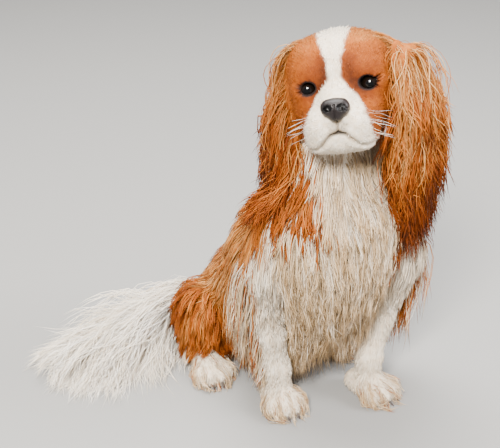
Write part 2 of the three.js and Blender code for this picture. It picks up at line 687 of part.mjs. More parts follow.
// A core is cut by the cores before it in the list, so that they meet face to face. Locks are cut clear of
// every other core and of the locks before them.
const cores = NODES.map(([, { core }]) => core(GAP));
const dog = new THREE.Group();
const locksBefore = [];
NODES.forEach(([name, { core, locks = [] }, material], at) => {
  const hair = join(locks.map((lock) => lockSolid(lock, 0)));
  const others = cores.filter((_, other) => other !== at);
  const made = join([
    core(0).subtract(join([UNDER_FLOOR, ...cores.slice(0, at)])),
    hair.subtract(join([UNDER_FLOOR, ...others, ...locksBefore])),
  ]);
  const mesh = new THREE.Mesh(geometryOf(made), material);
  mesh.name = name;
  dog.add(mesh);
  locksBefore.push(hair, ...locks.map((lock) => lockSolid(lock, GAP)));
});

// The origin goes to the middle of the footprint, on the floor.
const extent = new THREE.Box3().setFromObject(dog);
dog.position.set(-(extent.min.x + extent.max.x) / 2, -(extent.min.y + extent.max.y) / 2, 0);

export default dog;
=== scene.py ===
# A seated Cavalier King Charles spaniel, chestnut and white, life size. One skin covers the body and its hair
# lies over it in solid strands. Sizes in the tables are millimetres in the dog's own frame: it faces -Y, its
# left side is +X and it sits on Z = 0.
from math import cos, pi, radians, sin

import bmesh
import bpy
import numpy as np
from mathutils import Matrix, Vector


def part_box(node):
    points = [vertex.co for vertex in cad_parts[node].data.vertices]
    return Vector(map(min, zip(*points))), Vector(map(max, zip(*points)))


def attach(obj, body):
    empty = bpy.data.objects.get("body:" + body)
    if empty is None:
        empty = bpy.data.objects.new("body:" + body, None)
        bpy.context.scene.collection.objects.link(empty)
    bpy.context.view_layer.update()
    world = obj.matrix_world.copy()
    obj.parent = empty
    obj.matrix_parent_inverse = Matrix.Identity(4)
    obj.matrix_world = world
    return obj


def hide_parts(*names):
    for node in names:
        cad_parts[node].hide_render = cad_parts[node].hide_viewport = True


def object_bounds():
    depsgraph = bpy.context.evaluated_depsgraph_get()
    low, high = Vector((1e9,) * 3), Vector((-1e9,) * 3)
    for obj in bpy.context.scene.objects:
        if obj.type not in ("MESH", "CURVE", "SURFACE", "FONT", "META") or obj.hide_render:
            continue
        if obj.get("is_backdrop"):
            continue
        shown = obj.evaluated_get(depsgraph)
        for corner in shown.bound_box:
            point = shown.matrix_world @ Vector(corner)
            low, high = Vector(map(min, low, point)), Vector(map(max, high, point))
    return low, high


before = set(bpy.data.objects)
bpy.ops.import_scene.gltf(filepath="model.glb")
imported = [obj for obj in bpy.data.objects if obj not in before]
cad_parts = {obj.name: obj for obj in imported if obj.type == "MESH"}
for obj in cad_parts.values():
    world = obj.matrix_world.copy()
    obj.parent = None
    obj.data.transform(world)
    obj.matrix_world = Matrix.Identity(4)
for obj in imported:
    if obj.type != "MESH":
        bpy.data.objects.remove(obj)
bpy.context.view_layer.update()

# The camera looks down on the dog from ahead and a little to its right. It is placed from the dog's origin,
# which is found from the eyes: they sit at a known place in the turned head.
MM = 0.001
HEAD_AT = (-7, -12, 362)
HEAD_TURNED = -36
NOSE_RAISED = -13
HEAD_TILTED = -10
EYE_APART = 58
EYE_SET_BACK = 3


def rotation(degrees, axis="Z"):
    return Matrix.Rotation(radians(degrees), 4, axis)


HEAD = Matrix.Translation(HEAD_AT) @ rotation(HEAD_TURNED)
HEAD = HEAD @ rotation(NOSE_RAISED, "X") @ rotation(HEAD_TILTED, "Y")
SIDES = ((-1, "right"), (1, "left"))
eye_corners = [Vector(corner) for _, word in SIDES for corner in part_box("eye_" + word)]
STAND = sum(eye_corners, Vector()) / 4 - (HEAD @ Vector((0, EYE_SET_BACK, 0))) * MM

CAMERA_FROM_DOG = Vector((-0.4649, -0.8005, 0.687))
CAMERA_PITCH = -27.2
CAMERA_TURN = -25


def add_object(name, data):
    made = bpy.data.objects.new(name, data)
    bpy.context.collection.objects.link(made)
    return made


camera = add_object("camera", bpy.data.cameras.new("camera"))
camera.data.sensor_width = 36
camera.data.lens = 74.8
camera.location = STAND + CAMERA_FROM_DOG
gaze = rotation(CAMERA_TURN) @ rotation(CAMERA_PITCH, "X") @ Vector((0, 1, 0))
camera.rotation_euler = gaze.to_track_quat("-Z", "Y").to_euler()
bpy.context.scene.camera = camera


# The skin runs unbroken from nose to tail, with lids, lips and toes formed in it. Flesh is a set of ovals and
# tapering rods that flow into one another, each a distance that says how far points lie outside it. A
# remeshed union of the same ovals and rods is drawn onto the blended surface.
def unit(v):
    return v / np.maximum(np.linalg.norm(v, axis=-1, keepdims=True), 1e-6)


def smooth(low, high, x):
    t = np.clip((x - low) / (high - low), 0, 1)
    return t * t * (3 - 2 * t)


def oval(centre, radii, lean=0, turn=0):
    """An oval that leans by some degrees about X and is turned about Z."""
    lean, turn = radians(lean), radians(turn)

    def away(p):
        q = p - np.float32(centre)
        x = cos(turn) * q[:, 0] + sin(turn) * q[:, 1]
        level = cos(turn) * q[:, 1] - sin(turn) * q[:, 0]
        y = cos(lean) * level + sin(lean) * q[:, 2]
        z = cos(lean) * q[:, 2] - sin(lean) * level
        return (np.sqrt((x / radii[0]) ** 2 + (y / radii[1]) ** 2 + (z / radii[2]) ** 2) - 1) * min(radii)

    return away


def rod(start, end, flatness=1.0, facing=(0, 0, 1)):
    """A rod between two stations, each x, y, z and radius, which may be flat the way it faces."""
    a, b = np.float32(start[:3]), np.float32(end[:3])
    run = b - a
    face = np.float32(facing)

    def away(p):
        q = p - a
        t = np.clip(q @ run / (run @ run), 0, 1)
        q = q - t[:, None] * run
        if flatness < 1:
            q = q + (1 / flatness - 1) * (q @ face)[:, None] * face
        return (np.linalg.norm(q, axis=1) - (start[3] + (end[3] - start[3]) * t)) * flatness

    return away


def rods(stations, flatness=1.0, facing=(0, 0, 1)):
    return [rod(a, b, flatness, facing) for a, b in zip(stations, stations[1:])]


def flowed(each, soft):
    """One distance from several, whose forms flow into one another over some millimetres."""
    each = np.stack(each)
    least = each.min(axis=0)
    return least - soft * np.log(np.exp((least - each) / soft).sum(axis=0))


def blended(forms, soft):
    return lambda p: flowed([form(p) for form in forms], soft)


def carved(away, hole, soft):
    return soft * np.logaddexp(away / soft, -hole / soft)


# Ovals are a centre, three radii and a lean. Rods are runs of stations, each x, y, z and radius.
TRUNK = [
    ((4, 4, 222), (58, 46, 46), 0),  # shoulders
    ((2, -18, 198), (38, 26, 36), 0),  # breastbone
    ((5, 26, 176), (62, 52, 56), 0),  # ribs
    ((-12, 62, 178), (50, 42, 44), 0),  # withers
    ((-6, 66, 144), (60, 52, 56), 20),  # flanks
    ((-13, 98, 110), (56, 48, 52), 20),  # loin
    ((-18, 130, 78), (54, 44, 50), 0),  # croup
    ((-26, 158, 52), (46, 38, 42), 0),  # rump
]
NAPE = [(22, 34, 326, 36), (12, 27, 284, 40), (1, 15, 238, 48)]
ARM = {
    -1: [
        (-48, 20, 214, 24), (-57, 24, 172, 24), (-58, 33, 130, 17),
        (-56, 24, 84, 12), (-52, 16, 44, 11), (-52, 14, 18, 11),
    ],
    1: [
        (60, 0, 214, 25), (76, 0, 172, 25), (76, 8, 130, 18),
        (64, 2, 84, 12), (47, -7, 44, 11), (46, -10, 18, 11),
    ],
}
TAIL = [
    (-36, 184, 42, 17), (-72, 186, 38, 15), (-120, 184, 30, 12),
    (-168, 178, 21, 10), (-214, 174, 14, 8), (-244, 174, 10, 6),
]
SKULL = [
    ((0, 36, 6), (47, 48, 45), 0),  # braincase
    ((0, 13, 17), (39, 22, 28), 0),  # forehead
    ((0, 16, -36), (27, 36, 21), 0),  # jaw
    ((0, -22, -47), (17, 19, 10), 0),  # chin
    ((0, -16, -9), (15, 34, 13), 8),  # bridge of the nose
]
for side in (-1, 1):
    SKULL += [
        ((side * 24, 4, 14), (13, 10, 8), 0),  # brow
        ((side * 23, 34, 20), (25, 34, 24), 0),  # side of the crown
        ((side * 27, 22, -18), (20, 33, 27), 0),  # cheek
        ((side * 15, -20, -31), (17, 27, 17), 0),  # pad of the muzzle
        ((side * 20, -17, -40), (13, 19, 15), 0),  # hanging lip
    ]

to_head = np.array(HEAD.inverted(), dtype=np.float32)
head_turned = rotation(HEAD_TURNED)


def in_head(p):
    return p @ to_head[:3, :3].T + to_head[:3, 3]


def mirror(h):
    """Points of the head brought over to its left side."""
    return np.abs(h * np.array([1, 0, 0])) + h * np.array([0, 1, 1])


# The ears hang plumb from the turned head, the left one higher. Stations are out, back, up and radius.
EAR_DOWN = [(38, 21, 27, 9), (51, 23, 12, 20), (60, 25, -20, 25), (63, 26, -62, 26), (64, 26, -104, 21)]
EAR_SHIFT = 11
EAR_HIGHER = 6
EAR_FLATNESS = 0.28


def ear_stations(side):
    stations = []
    for out, back, up, radius in EAR_DOWN:
        x, y, _ = head_turned @ Vector((side * out + EAR_SHIFT, back, 0))
        stations.append((x + HEAD_AT[0], y + HEAD_AT[1], HEAD_AT[2] + side * EAR_HIGHER + up, radius))
    return stations


def ear_facing(side):
    return tuple(head_turned @ Vector((0.9, -side * 0.45, 0)).normalized())


# Each foot is a sole with a heel behind and four toes ahead, at a place on the floor, turned by some degrees.
FOOT = {
    "fore_right": ((-52, 14, 0), 2),
    "fore_left": ((46, -10, 0), 24),
    "hind_right": ((-97, 98, 0), -6),
    "hind_left": ((60, 84, 0), 16),
}
TOES = [(-15, -15), (-5.5, -22), (5.5, -22), (15, -15)]
FOOT_OVALS = [((0, 0, 12), (17, 24, 16)), ((0, 16, 10), (12, 12, 12))]
FOOT_OVALS += [((x, y, 9), (6.5, 11, 9.5)) for x, y in TOES]


def on_foot(name, point):
    place, turn = FOOT[name]
    return Vector(place) + rotation(turn) @ Vector(point)


def foot_forms(name):
    return [(tuple(on_foot(name, centre)), radii, 0, FOOT[name][1]) for centre, radii in FOOT_OVALS]


THIGH = {}
HEEL = {}
for side, word in SIDES:
    x, y, _ = FOOT["hind_" + word][0]
    THIGH[side] = ((x - side * 10, y + 38, 50), (25, 42, 38), -24)
    HEEL[side] = [(x, y + 54, 18, 12), (x, y + 26, 14, 12), (x, y + 4, 13, 12)]

# The face is seen from ahead: the line of the mouth runs out and down, and each eye opens as a narrow almond.
LIP = [(0, -36), (7, -37.5), (12, -42.5), (17, -48), (24, -51), (31, -50)]
LID = (7.6, 6.6)
LID_MIDDLE = (27.7, 2.0)
LID_BALL = (14.6, 13.0, 12.8)
SKULL_BLEND, LID_BLEND, LID_EDGE = 4, 2.0, 0.7
skull = blended([oval(*form) for form in SKULL], SKULL_BLEND)
lip_rods = [rod((a[0], 0, a[1], 0), (b[0], 0, b[1], 0)) for a, b in zip(LIP, LIP[1:])]
lid_ball = oval((EYE_APART / 2 + 1, EYE_SET_BACK, 0), LID_BALL)


def lip_gap(h):
    """How far points lie from the line of the mouth, seen from ahead, and how much of it is in front."""
    seen = mirror(h) * np.array([1, 0, 1])
    return np.min([form(seen) for form in lip_rods], axis=0), smooth(-8, -20, h[:, 1])


def lid_share(mirrored, wider):
    """1 at the edge of the eye's opening, made wider by some millimetres, and less inside it."""
    x, z = mirrored[:, 0] - LID_MIDDLE[0], mirrored[:, 2] - LID_MIDDLE[1]
    arch = z + 0.08 * x
    low = np.where(arch < 0, 0.85, 1.0)
    outer = np.where(x > 0, 0.95, 1.0)
    return np.sqrt((x / (LID[0] * outer + wider)) ** 2 + (arch / (LID[1] * low + wider)) ** 2)


def face(h):
    """The head with its lids, the slits of the eyes, the lips and the line of the mouth."""
    mirrored = mirror(h)
    away = -LID_BLEND * np.logaddexp(-skull(h) / LID_BLEND, -lid_ball(mirrored) / LID_BLEND)
    slit = (lid_share(mirrored, 0) - 1) * LID[1]
    away = carved(away, np.maximum(slit, mirrored[:, 1] + 3), LID_EDGE)
    lip, ahead = lip_gap(h)
    ahead = ahead * np.interp(mirrored[:, 0], [6, 22], [1.0, 0.65])
    away = away + ahead * (2.2 * np.exp(-((lip / 1.5) ** 2)) - 0.7 * np.exp(-(((lip - 4.4) / 2.2) ** 2)))
    groove = 1.3 * ahead * np.exp(-((h[:, 0] / 1.2) ** 2))
    return away + groove * smooth(-37, -34, h[:, 2]) * smooth(-22, -26, h[:, 2])


PARTS = {
    "head": lambda p: face(in_head(p)),
    "neck": blended(rods(NAPE), 8),
    "trunk": blended([oval(*form) for form in TRUNK], 12),
    "tail": blended(rods(TAIL), 3),
}
for side, word in SIDES:
    PARTS["ear_" + word] = blended(rods(ear_stations(side), EAR_FLATNESS, ear_facing(side)), 2)
    PARTS["foreleg_" + word] = blended(rods(ARM[side]), 5)
    PARTS["hindleg_" + word] = blended([oval(*THIGH[side])] + rods(HEEL[side]), 3)
for name in FOOT:
    PARTS["paw_" + name] = blended([oval(*form) for form in foot_forms(name)], 1.6)
PART_NAMES = np.array(list(PARTS))
PARTS_BLEND = 2.5


def flesh(p, without=()):
    return flowed([form(p) for name, form in PARTS.items() if not name.startswith(without)], PARTS_BLEND)


def part_of(p):
    return PART_NAMES[np.stack([form(p) for form in PARTS.values()]).argmin(axis=0)]


def made_mesh(name, shape):
    mesh = bpy.data.meshes.new(name)
    shape.to_mesh(mesh)
    shape.free()
    return mesh


def add_oval(mesh, centre, radii, lean=0, turn=0, carried=Matrix.Identity(4)):
    tilt = rotation(turn) @ rotation(lean, "X")
    place = carried @ Matrix.Translation(centre) @ tilt @ Matrix.Diagonal((*radii, 1))
    bmesh.ops.create_uvsphere(mesh, u_segments=16, v_segments=10, radius=1, matrix=place)


def add_rods(mesh, stations, flatness=1.0, facing=None):
    for a, b in zip(stations, stations[1:]):
        start, end = Vector(a[:3]), Vector(b[:3])
        run = end - start
        turn = run.to_track_quat("Z", "Y").to_matrix().to_4x4()
        made = bmesh.ops.create_cone(
            mesh, cap_ends=True, segments=14, radius1=a[3], radius2=b[3], depth=run.length,
            matrix=Matrix.Translation((start + end) / 2) @ turn,
        )["verts"]
        for place, radius in ((start, a[3]), (end, b[3])):
            ball = bmesh.ops.create_uvsphere(
                mesh, u_segments=14, v_segments=8, radius=radius, matrix=Matrix.Translation(place)
            )
            made += ball["verts"]
        if facing:
            axis = Vector(facing)
            for vert in made:
                from_start = vert.co - start
                off = from_start.dot(axis) - run.dot(axis) * from_start.dot(run) / run.length_squared
                vert.co -= axis * off * (1 - flatness)


TRUNK_FULLER = 4
block = bmesh.new()
for centre, radii, lean in TRUNK:
    add_oval(block, centre, [radius + TRUNK_FULLER for radius in radii], lean)
for form in SKULL:
    add_oval(block, *form, carried=HEAD)
for side in (-1, 1):
    add_oval(block, *THIGH[side])
    add_rods(block, HEEL[side])
    add_rods(block, ARM[side])
    add_rods(block, ear_stations(side), EAR_FLATNESS, ear_facing(side))
add_rods(block, NAPE)
add_rods(block, TAIL)
for name in FOOT:
    for form in foot_forms(name):
        add_oval(block, *form)

SKIN_VOXEL = 3.0
SOLE_HIGH = 0.6
carrier = add_object("rough", made_mesh("rough", block))
remesh = carrier.modifiers.new("remesh", "REMESH")
remesh.mode = "VOXEL"
remesh.voxel_size = SKIN_VOXEL
evaluated = carrier.evaluated_get(bpy.context.evaluated_depsgraph_get())
skin_mesh = bpy.data.meshes.new_from_object(evaluated)
skin_mesh.name = "skin"
bpy.data.meshes.remove(carrier.data)


def corners(mesh):
    flat = np.empty(len(mesh.vertices) * 3, dtype=np.float32)
    mesh.vertices.foreach_get("co", flat)
    return flat.reshape(-1, 3)


def slope(form, p, step=0.5):
    """The unit direction in which a form falls away fastest at each point."""
    axes = np.eye(3, dtype=np.float32) * step
    return unit(np.stack([form(p + axis) - form(p - axis) for axis in axes], axis=1))


def draw_on(mesh, form, passes, chosen=slice(None), furthest=6):
    """Moves the mesh's corners, or the chosen ones, onto a form's surface."""
    p = corners(mesh)
    moved = p[chosen]
    for _ in range(passes):
        moved = moved - slope(form, moved) * np.clip(form(moved), -furthest, furthest)[:, None] * 0.9
    p[chosen] = moved
    mesh.vertices.foreach_set("co", p.ravel())
    mesh.update()


def refine(mesh, wanted):
    """Halves the faces whose corners are all wanted."""
    fine = bmesh.new()
    fine.from_mesh(mesh)
    for vert, keep in zip(fine.verts, wanted(corners(mesh))):
        vert.tag = bool(keep)
    edges = [edge for edge in fine.edges if edge.verts[0].tag and edge.verts[1].tag]
    bmesh.ops.subdivide_edges(fine, edges=edges, cuts=1, use_grid_fill=True)
    fine.to_mesh(mesh)
    fine.free()


def on_face(p):
    x, y, z = in_head(p).T
    return (np.abs(x) < 52) & (y < 18) & (z > -62) & (z < 34)


def near_mouth_and_eyes(p):
    x, y, z = in_head(p).T
    eye = np.hypot(np.abs(x) - EYE_APART / 2, z) < 20
    muzzle = (z < -20) & (z > -62) & (y < 5)
    return on_face(p) & (y < 12) & (eye | muzzle)


def near_eyes(p):
    x, y, z = in_head(p).T
    return (np.hypot(np.abs(x) - EYE_APART / 2, z * 1.2) < 15) & (y < 6)


even = bmesh.new()
even.from_mesh(skin_mesh)
for _ in range(3):
    bmesh.ops.smooth_vert(
        even, verts=even.verts, factor=0.5, use_axis_x=True, use_axis_y=True, use_axis_z=True
    )
even.to_mesh(skin_mesh)
even.free()
draw_on(skin_mesh, flesh, 3)
for region in (on_face, near_mouth_and_eyes, near_eyes):
    refine(skin_mesh, region)
    draw_on(skin_mesh, flesh, 3, region(corners(skin_mesh)))

skin_points = corners(skin_mesh)
skin_points[:, 2] = np.maximum(skin_points[:, 2], SOLE_HIGH)
skin_mesh.vertices.foreach_set("co", skin_points.ravel())


# Muzzle, blaze, throat, chest, legs and tail are white and the rest is chestnut, on skin and hair alike. tan
# is the chestnut share and deep says how dark the chestnut is; on the head deep also holds painted shade.
BLAZE_UP = [-60, -52, -44, -27, -14, -4, 1.5, 7, 11, 26, 49]
BLAZE_WIDE = [26, 28, 32, 29, 23.5, 17.5, 12, 7.5, 5.2, 6.8, 15]
FRECKLE = (25, -41, -21.3)


def wander(p, size, seed):
    """A smooth random value from -1 to 1 that changes over about size millimetres."""
    x, y, z = (p / size * 2.1 + seed).T
    a = np.sin(x + 1.7 * np.sin(y * 0.9 + 1.3)) + np.sin(y * 1.1 + 1.9 * np.sin(z + 0.4))
    return (a + np.sin(z * 1.3 + 1.5 * np.sin(x * 1.2 + 2.1))) / 3


def head_marks(p):
    x, y, z = in_head(p).T
    middle = np.interp(z, [-14, -4, 10, 26, 49], [-1, -2, -1.1, -1.8, -2.5])
    half = np.interp(z, BLAZE_UP, BLAZE_WIDE) * np.interp(y, [20, 60], [1, 0.55])
    edge = np.abs(x - middle) - half + 1.2 * wander(p, 7, 1)
    white = smooth(2.0, -2.0, edge)
    white = np.where((z < -8) & (y > 4), white * smooth(14, 4, y), white)
    white = np.maximum(white, smooth(-48, -58, z + 0.25 * y))
    freckle = np.hypot(np.hypot(x - FRECKLE[0], y - FRECKLE[1]), z - FRECKLE[2])
    white = white * (1 - 0.6 * smooth(2.6, 1.2, freckle))
    # Painted shade: the chestnut is deepened round the eyes, along the brows beside the blaze and low on the
    # head.
    eye = np.hypot(np.abs(x) - LID_MIDDLE[0] + 5, z - 3)
    deep = 0.57 + 0.26 * np.exp(-((eye / 15) ** 2)) + 0.05 * wander(p, 16, 4)
    beside = np.abs(x - 1) - half - 5
    deep = deep + 0.28 * np.exp(-((beside / 7) ** 2)) * smooth(-14, 6, z) * smooth(40, 20, z)
    deep = deep - 0.12 * smooth(24, 44, z) + 0.1 * smooth(-10, -40, z)
    return 1 - white, deep


def marks(p, part=None):
    part = part_of(p) if part is None else part
    x, y, z = p.T
    edge = 9 * wander(p, 34, 2) + 3 * wander(p, 9, 3)
    back_line = np.interp(z, [40, 60, 130, 170, 216, 260, 340], [66, 60, 32, 18, 10, 20, 26])
    tan = smooth(-7, 7, y - back_line + edge)
    yoke = smooth(-6, 6, np.abs(x - 9) - 37 + edge) * smooth(-8, 8, z - np.where(x > 0, 212, 234) + edge)
    tan = np.maximum(tan, yoke)
    deep = 0.30 + 0.08 * wander(p, 40, 5) + 0.08 * yoke
    head_tan, head_deep = head_marks(p)
    head = part == "head"
    ear = np.char.startswith(part, "ear")
    tan = np.where(head, head_tan, np.where(ear, 1.0, tan))
    deep = np.where(head, head_deep, deep)
    deep = np.where(ear, np.interp(z, [190, 240, 300, 400], [0.85, 0.7, 0.52, 0.42]), deep)
    hind = np.char.startswith(part, "hindleg")
    tan = np.where(hind, smooth(-6, 6, z - 22 + edge * 0.5), tan)
    deep = np.where(hind, 0.5 + 0.12 * wander(p, 25, 6), deep)
    upper = np.maximum(yoke, tan * smooth(118, 150, z))
    tan = np.where(np.char.startswith(part, "foreleg"), upper, tan)
    tan = np.where(np.char.startswith(part, "paw"), 0.05, tan)
    tan = np.where(part == "tail", smooth(-62, -36, x + edge), tan)
    return tan.astype(np.float32), np.clip(deep, 0, 1).astype(np.float32)


def set_values(mesh, **values):
    for name, value in values.items():
        layer = mesh.attributes.new(name, "FLOAT", "POINT")
        layer.data.foreach_set("value", np.float32(value))


skin_part = part_of(skin_points)
skin_tan, skin_deep = marks(skin_points, skin_part)
skin_in_head = in_head(skin_points)
mirrored = mirror(skin_in_head)
lip, ahead = lip_gap(skin_in_head)
lids = smooth(1.08, 0.98, lid_share(mirrored, 1.1)) * (skin_in_head[:, 1] < 6)
lips = smooth(2.1, 0.7, lip) * ahead
lips = lips * np.interp(mirrored[:, 0], [0, 5, 12, 24, 31], [0.95, 0.75, 0.35, 0.2, 0])
under_nose = smooth(1.1, 0.6, np.hypot((skin_in_head[:, 0] - 1) / 11, (skin_in_head[:, 2] + 30) / 7))
mottle = under_nose * (0.2 + 0.55 * np.abs(wander(skin_points, 1.8, 9))) * (skin_in_head[:, 1] < -20)
bare = np.maximum(lids, np.maximum(lips, mottle) * (skin_part == "head"))
# The skin's tip of 0.25 darkens it by the painted root shade of the coat's colour.
set_values(
    skin_mesh, tan=skin_tan, deep=skin_deep, bare=bare,
    tone=0.5 + 0.1 * wander(skin_points, 3, 8), tip=np.full(len(skin_points), 0.25),
)


def add_node(tree, kind, inputs, **settings):
    """Adds a node. Its inputs, by name or number, are plain values or what other nodes give."""
    node = tree.nodes.new("ShaderNode" + kind)
    for setting, value in settings.items():
        setattr(node, setting, value)
    for name, value in inputs.items():
        if isinstance(value, bpy.types.NodeSocket):
            tree.links.new(value, node.inputs[name])
        else:
            node.inputs[name].default_value = value
    return node.outputs


def ramp(tree, stops, factor):
    node = tree.nodes.new("ShaderNodeValToRGB")
    tree.links.new(factor, node.inputs["Fac"])
    elements = node.color_ramp.elements
    for _ in range(len(stops) - 2):
        elements.new(0.5)
    for element, (place, colour) in zip(elements, stops):
        element.position = place
        element.color = (*colour, 1)
    return node.outputs["Color"]


def maths(tree, what, a, b):
    return add_node(tree, "Math", {0: a, 1: b}, operation=what)[0]


def blend_colours(tree, factor, a, b, mode="MIX"):
    return add_node(tree, "Mix", {0: factor, 6: a, 7: b}, data_type="RGBA", blend_type=mode)[2]


# The hair's colour, for skin and coat: white hair runs from brownish cream to clean white and chestnut from
# gold to dark. Every hair is painted darker at its root, as painted shade.
COAT_VALUES = ("tan", "deep", "tone", "tip")
coat_colour = bpy.data.node_groups.new("coat_colour", "ShaderNodeTree")
for name in COAT_VALUES:
    coat_colour.interface.new_socket(name, in_out="INPUT", socket_type="NodeSocketFloat")
coat_colour.interface.new_socket("colour", in_out="OUTPUT", socket_type="NodeSocketColor")
inside = coat_colour.nodes.new("NodeGroupInput")
outside = coat_colour.nodes.new("NodeGroupOutput")
white_hair = ramp(
    coat_colour,
    [
        (0.0, (0.42, 0.26, 0.12)), (0.3, (0.74, 0.55, 0.34)), (0.6, (0.92, 0.82, 0.68)),
        (1.0, (0.97, 0.95, 0.92)),
    ],
    inside.outputs["tone"],
)
spread = maths(coat_colour, "MULTIPLY", maths(coat_colour, "SUBTRACT", 0.5, inside.outputs["tone"]), 0.7)
chestnut_hair = ramp(
    coat_colour,
    [
        (0.0, (0.84, 0.54, 0.27)), (0.22, (0.60, 0.26, 0.065)), (0.45, (0.37, 0.092, 0.008)),
        (0.7, (0.20, 0.038, 0.002)), (1.0, (0.07, 0.013, 0.001)),
    ],
    maths(coat_colour, "ADD", inside.outputs["deep"], spread),
)
mixed = blend_colours(coat_colour, inside.outputs["tan"], white_hair, chestnut_hair)
# Painted shade: the colour is darkened towards each hair's root.
shade = maths(coat_colour, "ADD", 0.62, maths(coat_colour, "MULTIPLY", inside.outputs["tip"], 0.42))
painted_root_shade = add_node(coat_colour, "CombineColor", {0: shade, 1: shade, 2: shade})[0]
coat_colour.links.new(blend_colours(coat_colour, 1.0, mixed, painted_root_shade, "MULTIPLY"), outside.inputs["colour"])


def finish(name, roughness, gloss):
    material = bpy.data.materials.new(name)
    material.use_nodes = True
    shader = material.node_tree.nodes["Principled BSDF"]
    shader.inputs["Roughness"].default_value = roughness
    shader.inputs["Specular IOR Level"].default_value = gloss
    return material, material.node_tree, shader


def read_value(tree, name):
    return add_node(tree, "Attribute", {}, attribute_name=name)["Fac"]


def coat_node(tree):
    values = {name: read_value(tree, name) for name in COAT_VALUES}
    return add_node(tree, "Group", values, node_tree=coat_colour)["colour"]


def raise_bumps(tree, shader, height, strength, depth, sunk=False):
    bump = add_node(tree, "Bump", {"Strength": strength, "Distance": depth, "Height": height}, invert=sunk)
    tree.links.new(bump["Normal"], shader.inputs["Normal"])


# The skin is finished as short coat: a fine nap that lies back along the head, with bare black lids and lips.
skin_finish, tree, shader = finish("short_coat", 0.62, 0.1)
skin_colour = blend_colours(tree, read_value(tree, "bare"), coat_node(tree), (0.016, 0.010, 0.009, 1))
tree.links.new(skin_colour, shader.inputs["Base Color"])
place = add_node(tree, "TexCoord", {})["Object"]
place = add_node(tree, "Mapping", {"Vector": place, "Rotation": HEAD.inverted().to_euler()})["Vector"]
place = add_node(tree, "Mapping", {"Vector": place, "Scale": (1.0, 0.2, 1.0)})["Vector"]
nap = add_node(tree, "TexNoise", {"Vector": place, "Scale": 1100, "Detail": 3})["Fac"]
raise_bumps(tree, shader, nap, 0.7, 0.0008)


def settle(mesh, points):
    """Puts the mesh's corners, given in the dog's own millimetres, where the dog sits."""
    placed = points * MM + np.array(STAND, dtype=np.float32)
    mesh.vertices.foreach_set("co", placed.astype(np.float32).ravel())
    mesh.update()


def add_piece(name, mesh, material, nodes=()):
    mesh.name = name
    mesh.materials.append(material)
    mesh.polygons.foreach_set("use_smooth", [True] * len(mesh.polygons))
    piece = add_object(name, mesh)
    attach(piece, "root")
    if nodes:
        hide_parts(*nodes)


skin_mesh.calc_loop_triangles()
skin_triangles = np.empty(len(skin_mesh.loop_triangles) * 3, dtype=np.int32)
skin_mesh.loop_triangles.foreach_get("vertices", skin_triangles)
skin_triangles = skin_triangles.reshape(-1, 3)
settle(skin_mesh, skin_points)
add_piece(
    "skin", skin_mesh, skin_finish,
    [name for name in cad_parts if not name.startswith(("eye", "nose"))],
)


# The coat is thousands of solid strands, each a tuft of hair with its root in the skin. Some guide hairs are
# combed along the lie over a coarse field of distances from the flesh, and the strands round each guide
# follow it and draw together towards their tips.
CELL = 5.0
FIELD_LOW = np.float32([-290, -110, -10])
FIELD_HIGH = np.float32([140, 260, 430])
cells = np.ceil((FIELD_HIGH - FIELD_LOW) / CELL).astype(int) + 1
axes = [FIELD_LOW[i] + CELL * np.arange(cells[i], dtype=np.float32) for i in range(3)]
lattice = np.stack(np.meshgrid(*axes, indexing="ij"), axis=-1).reshape(-1, 3)
distances = np.concatenate([flesh(share, ("ear",)) for share in np.array_split(lattice, 8)]).reshape(cells)
field = np.stack([distances, *np.gradient(distances, CELL)], axis=-1)


def around(p):
    """How far points lie outside the flesh, and the direction straight out of it."""
    q = np.clip((p - FIELD_LOW) / CELL, 0, cells - 1.001)
    cell = q.astype(int)
    past = q - cell
    total = 0
    for corner in np.ndindex(2, 2, 2):
        near = np.where(corner, past, 1 - past)
        x, y, z = np.moveaxis(cell + corner, -1, 0)
        total = total + (near[..., 0] * near[..., 1] * near[..., 2])[..., None] * field[x, y, z]
    return total[..., 0], unit(total[..., 1:])


triangle_points = skin_points[skin_triangles]
first_corner, second_corner, third_corner = np.moveaxis(triangle_points, 1, 0)
triangle_cross = np.cross(second_corner - first_corner, third_corner - first_corner)
triangle_area = np.linalg.norm(triangle_cross, axis=1) / 2
triangle_out = unit(triangle_cross)
triangle_middle = triangle_points.mean(axis=1)
_, body_y, body_z = triangle_middle.T
triangle_part = part_of(triangle_middle)
triangle_bare = bare[skin_triangles].mean(axis=1)
triangle_head = in_head(triangle_middle)
head_x, head_y, head_z = triangle_head.T
CROWD = 1.0
chance = np.random.default_rng(20)


def parts(*names):
    return np.isin(triangle_part, names).astype(np.float32)


def scatter(count, weight):
    """Evenly spread roots: places and the directions straight out of the skin there."""
    count = max(12, int(count * CROWD))
    running = np.cumsum(triangle_area * weight)
    draws = (np.arange(count) + chance.random(count)) / count * running[-1]
    pick = np.minimum(np.searchsorted(running, draws), len(running) - 1)
    a, b = np.sqrt(chance.random(count)), chance.random(count)
    shares = np.stack([1 - a, a * (1 - b), a * b], axis=1)
    root = (triangle_points[pick] * shares[:, :, None]).sum(axis=1)
    return root.astype(np.float32), triangle_out[pick].astype(np.float32)


DOWN = np.float32([0, 0, -1])
ROOT_DEEP = 1.5
FLOOR_CLEAR = 1.5
STRAND_CLEAR = 0.9


def along_strand(segments):
    return np.linspace(0, 1, segments + 1, dtype=np.float32)


def swung(v, degrees):
    across, ahead = np.sin(np.radians(degrees)), np.cos(np.radians(degrees))
    x, y, z = v.T
    return np.stack([ahead * x - across * y, across * x + ahead * y, z], axis=1)


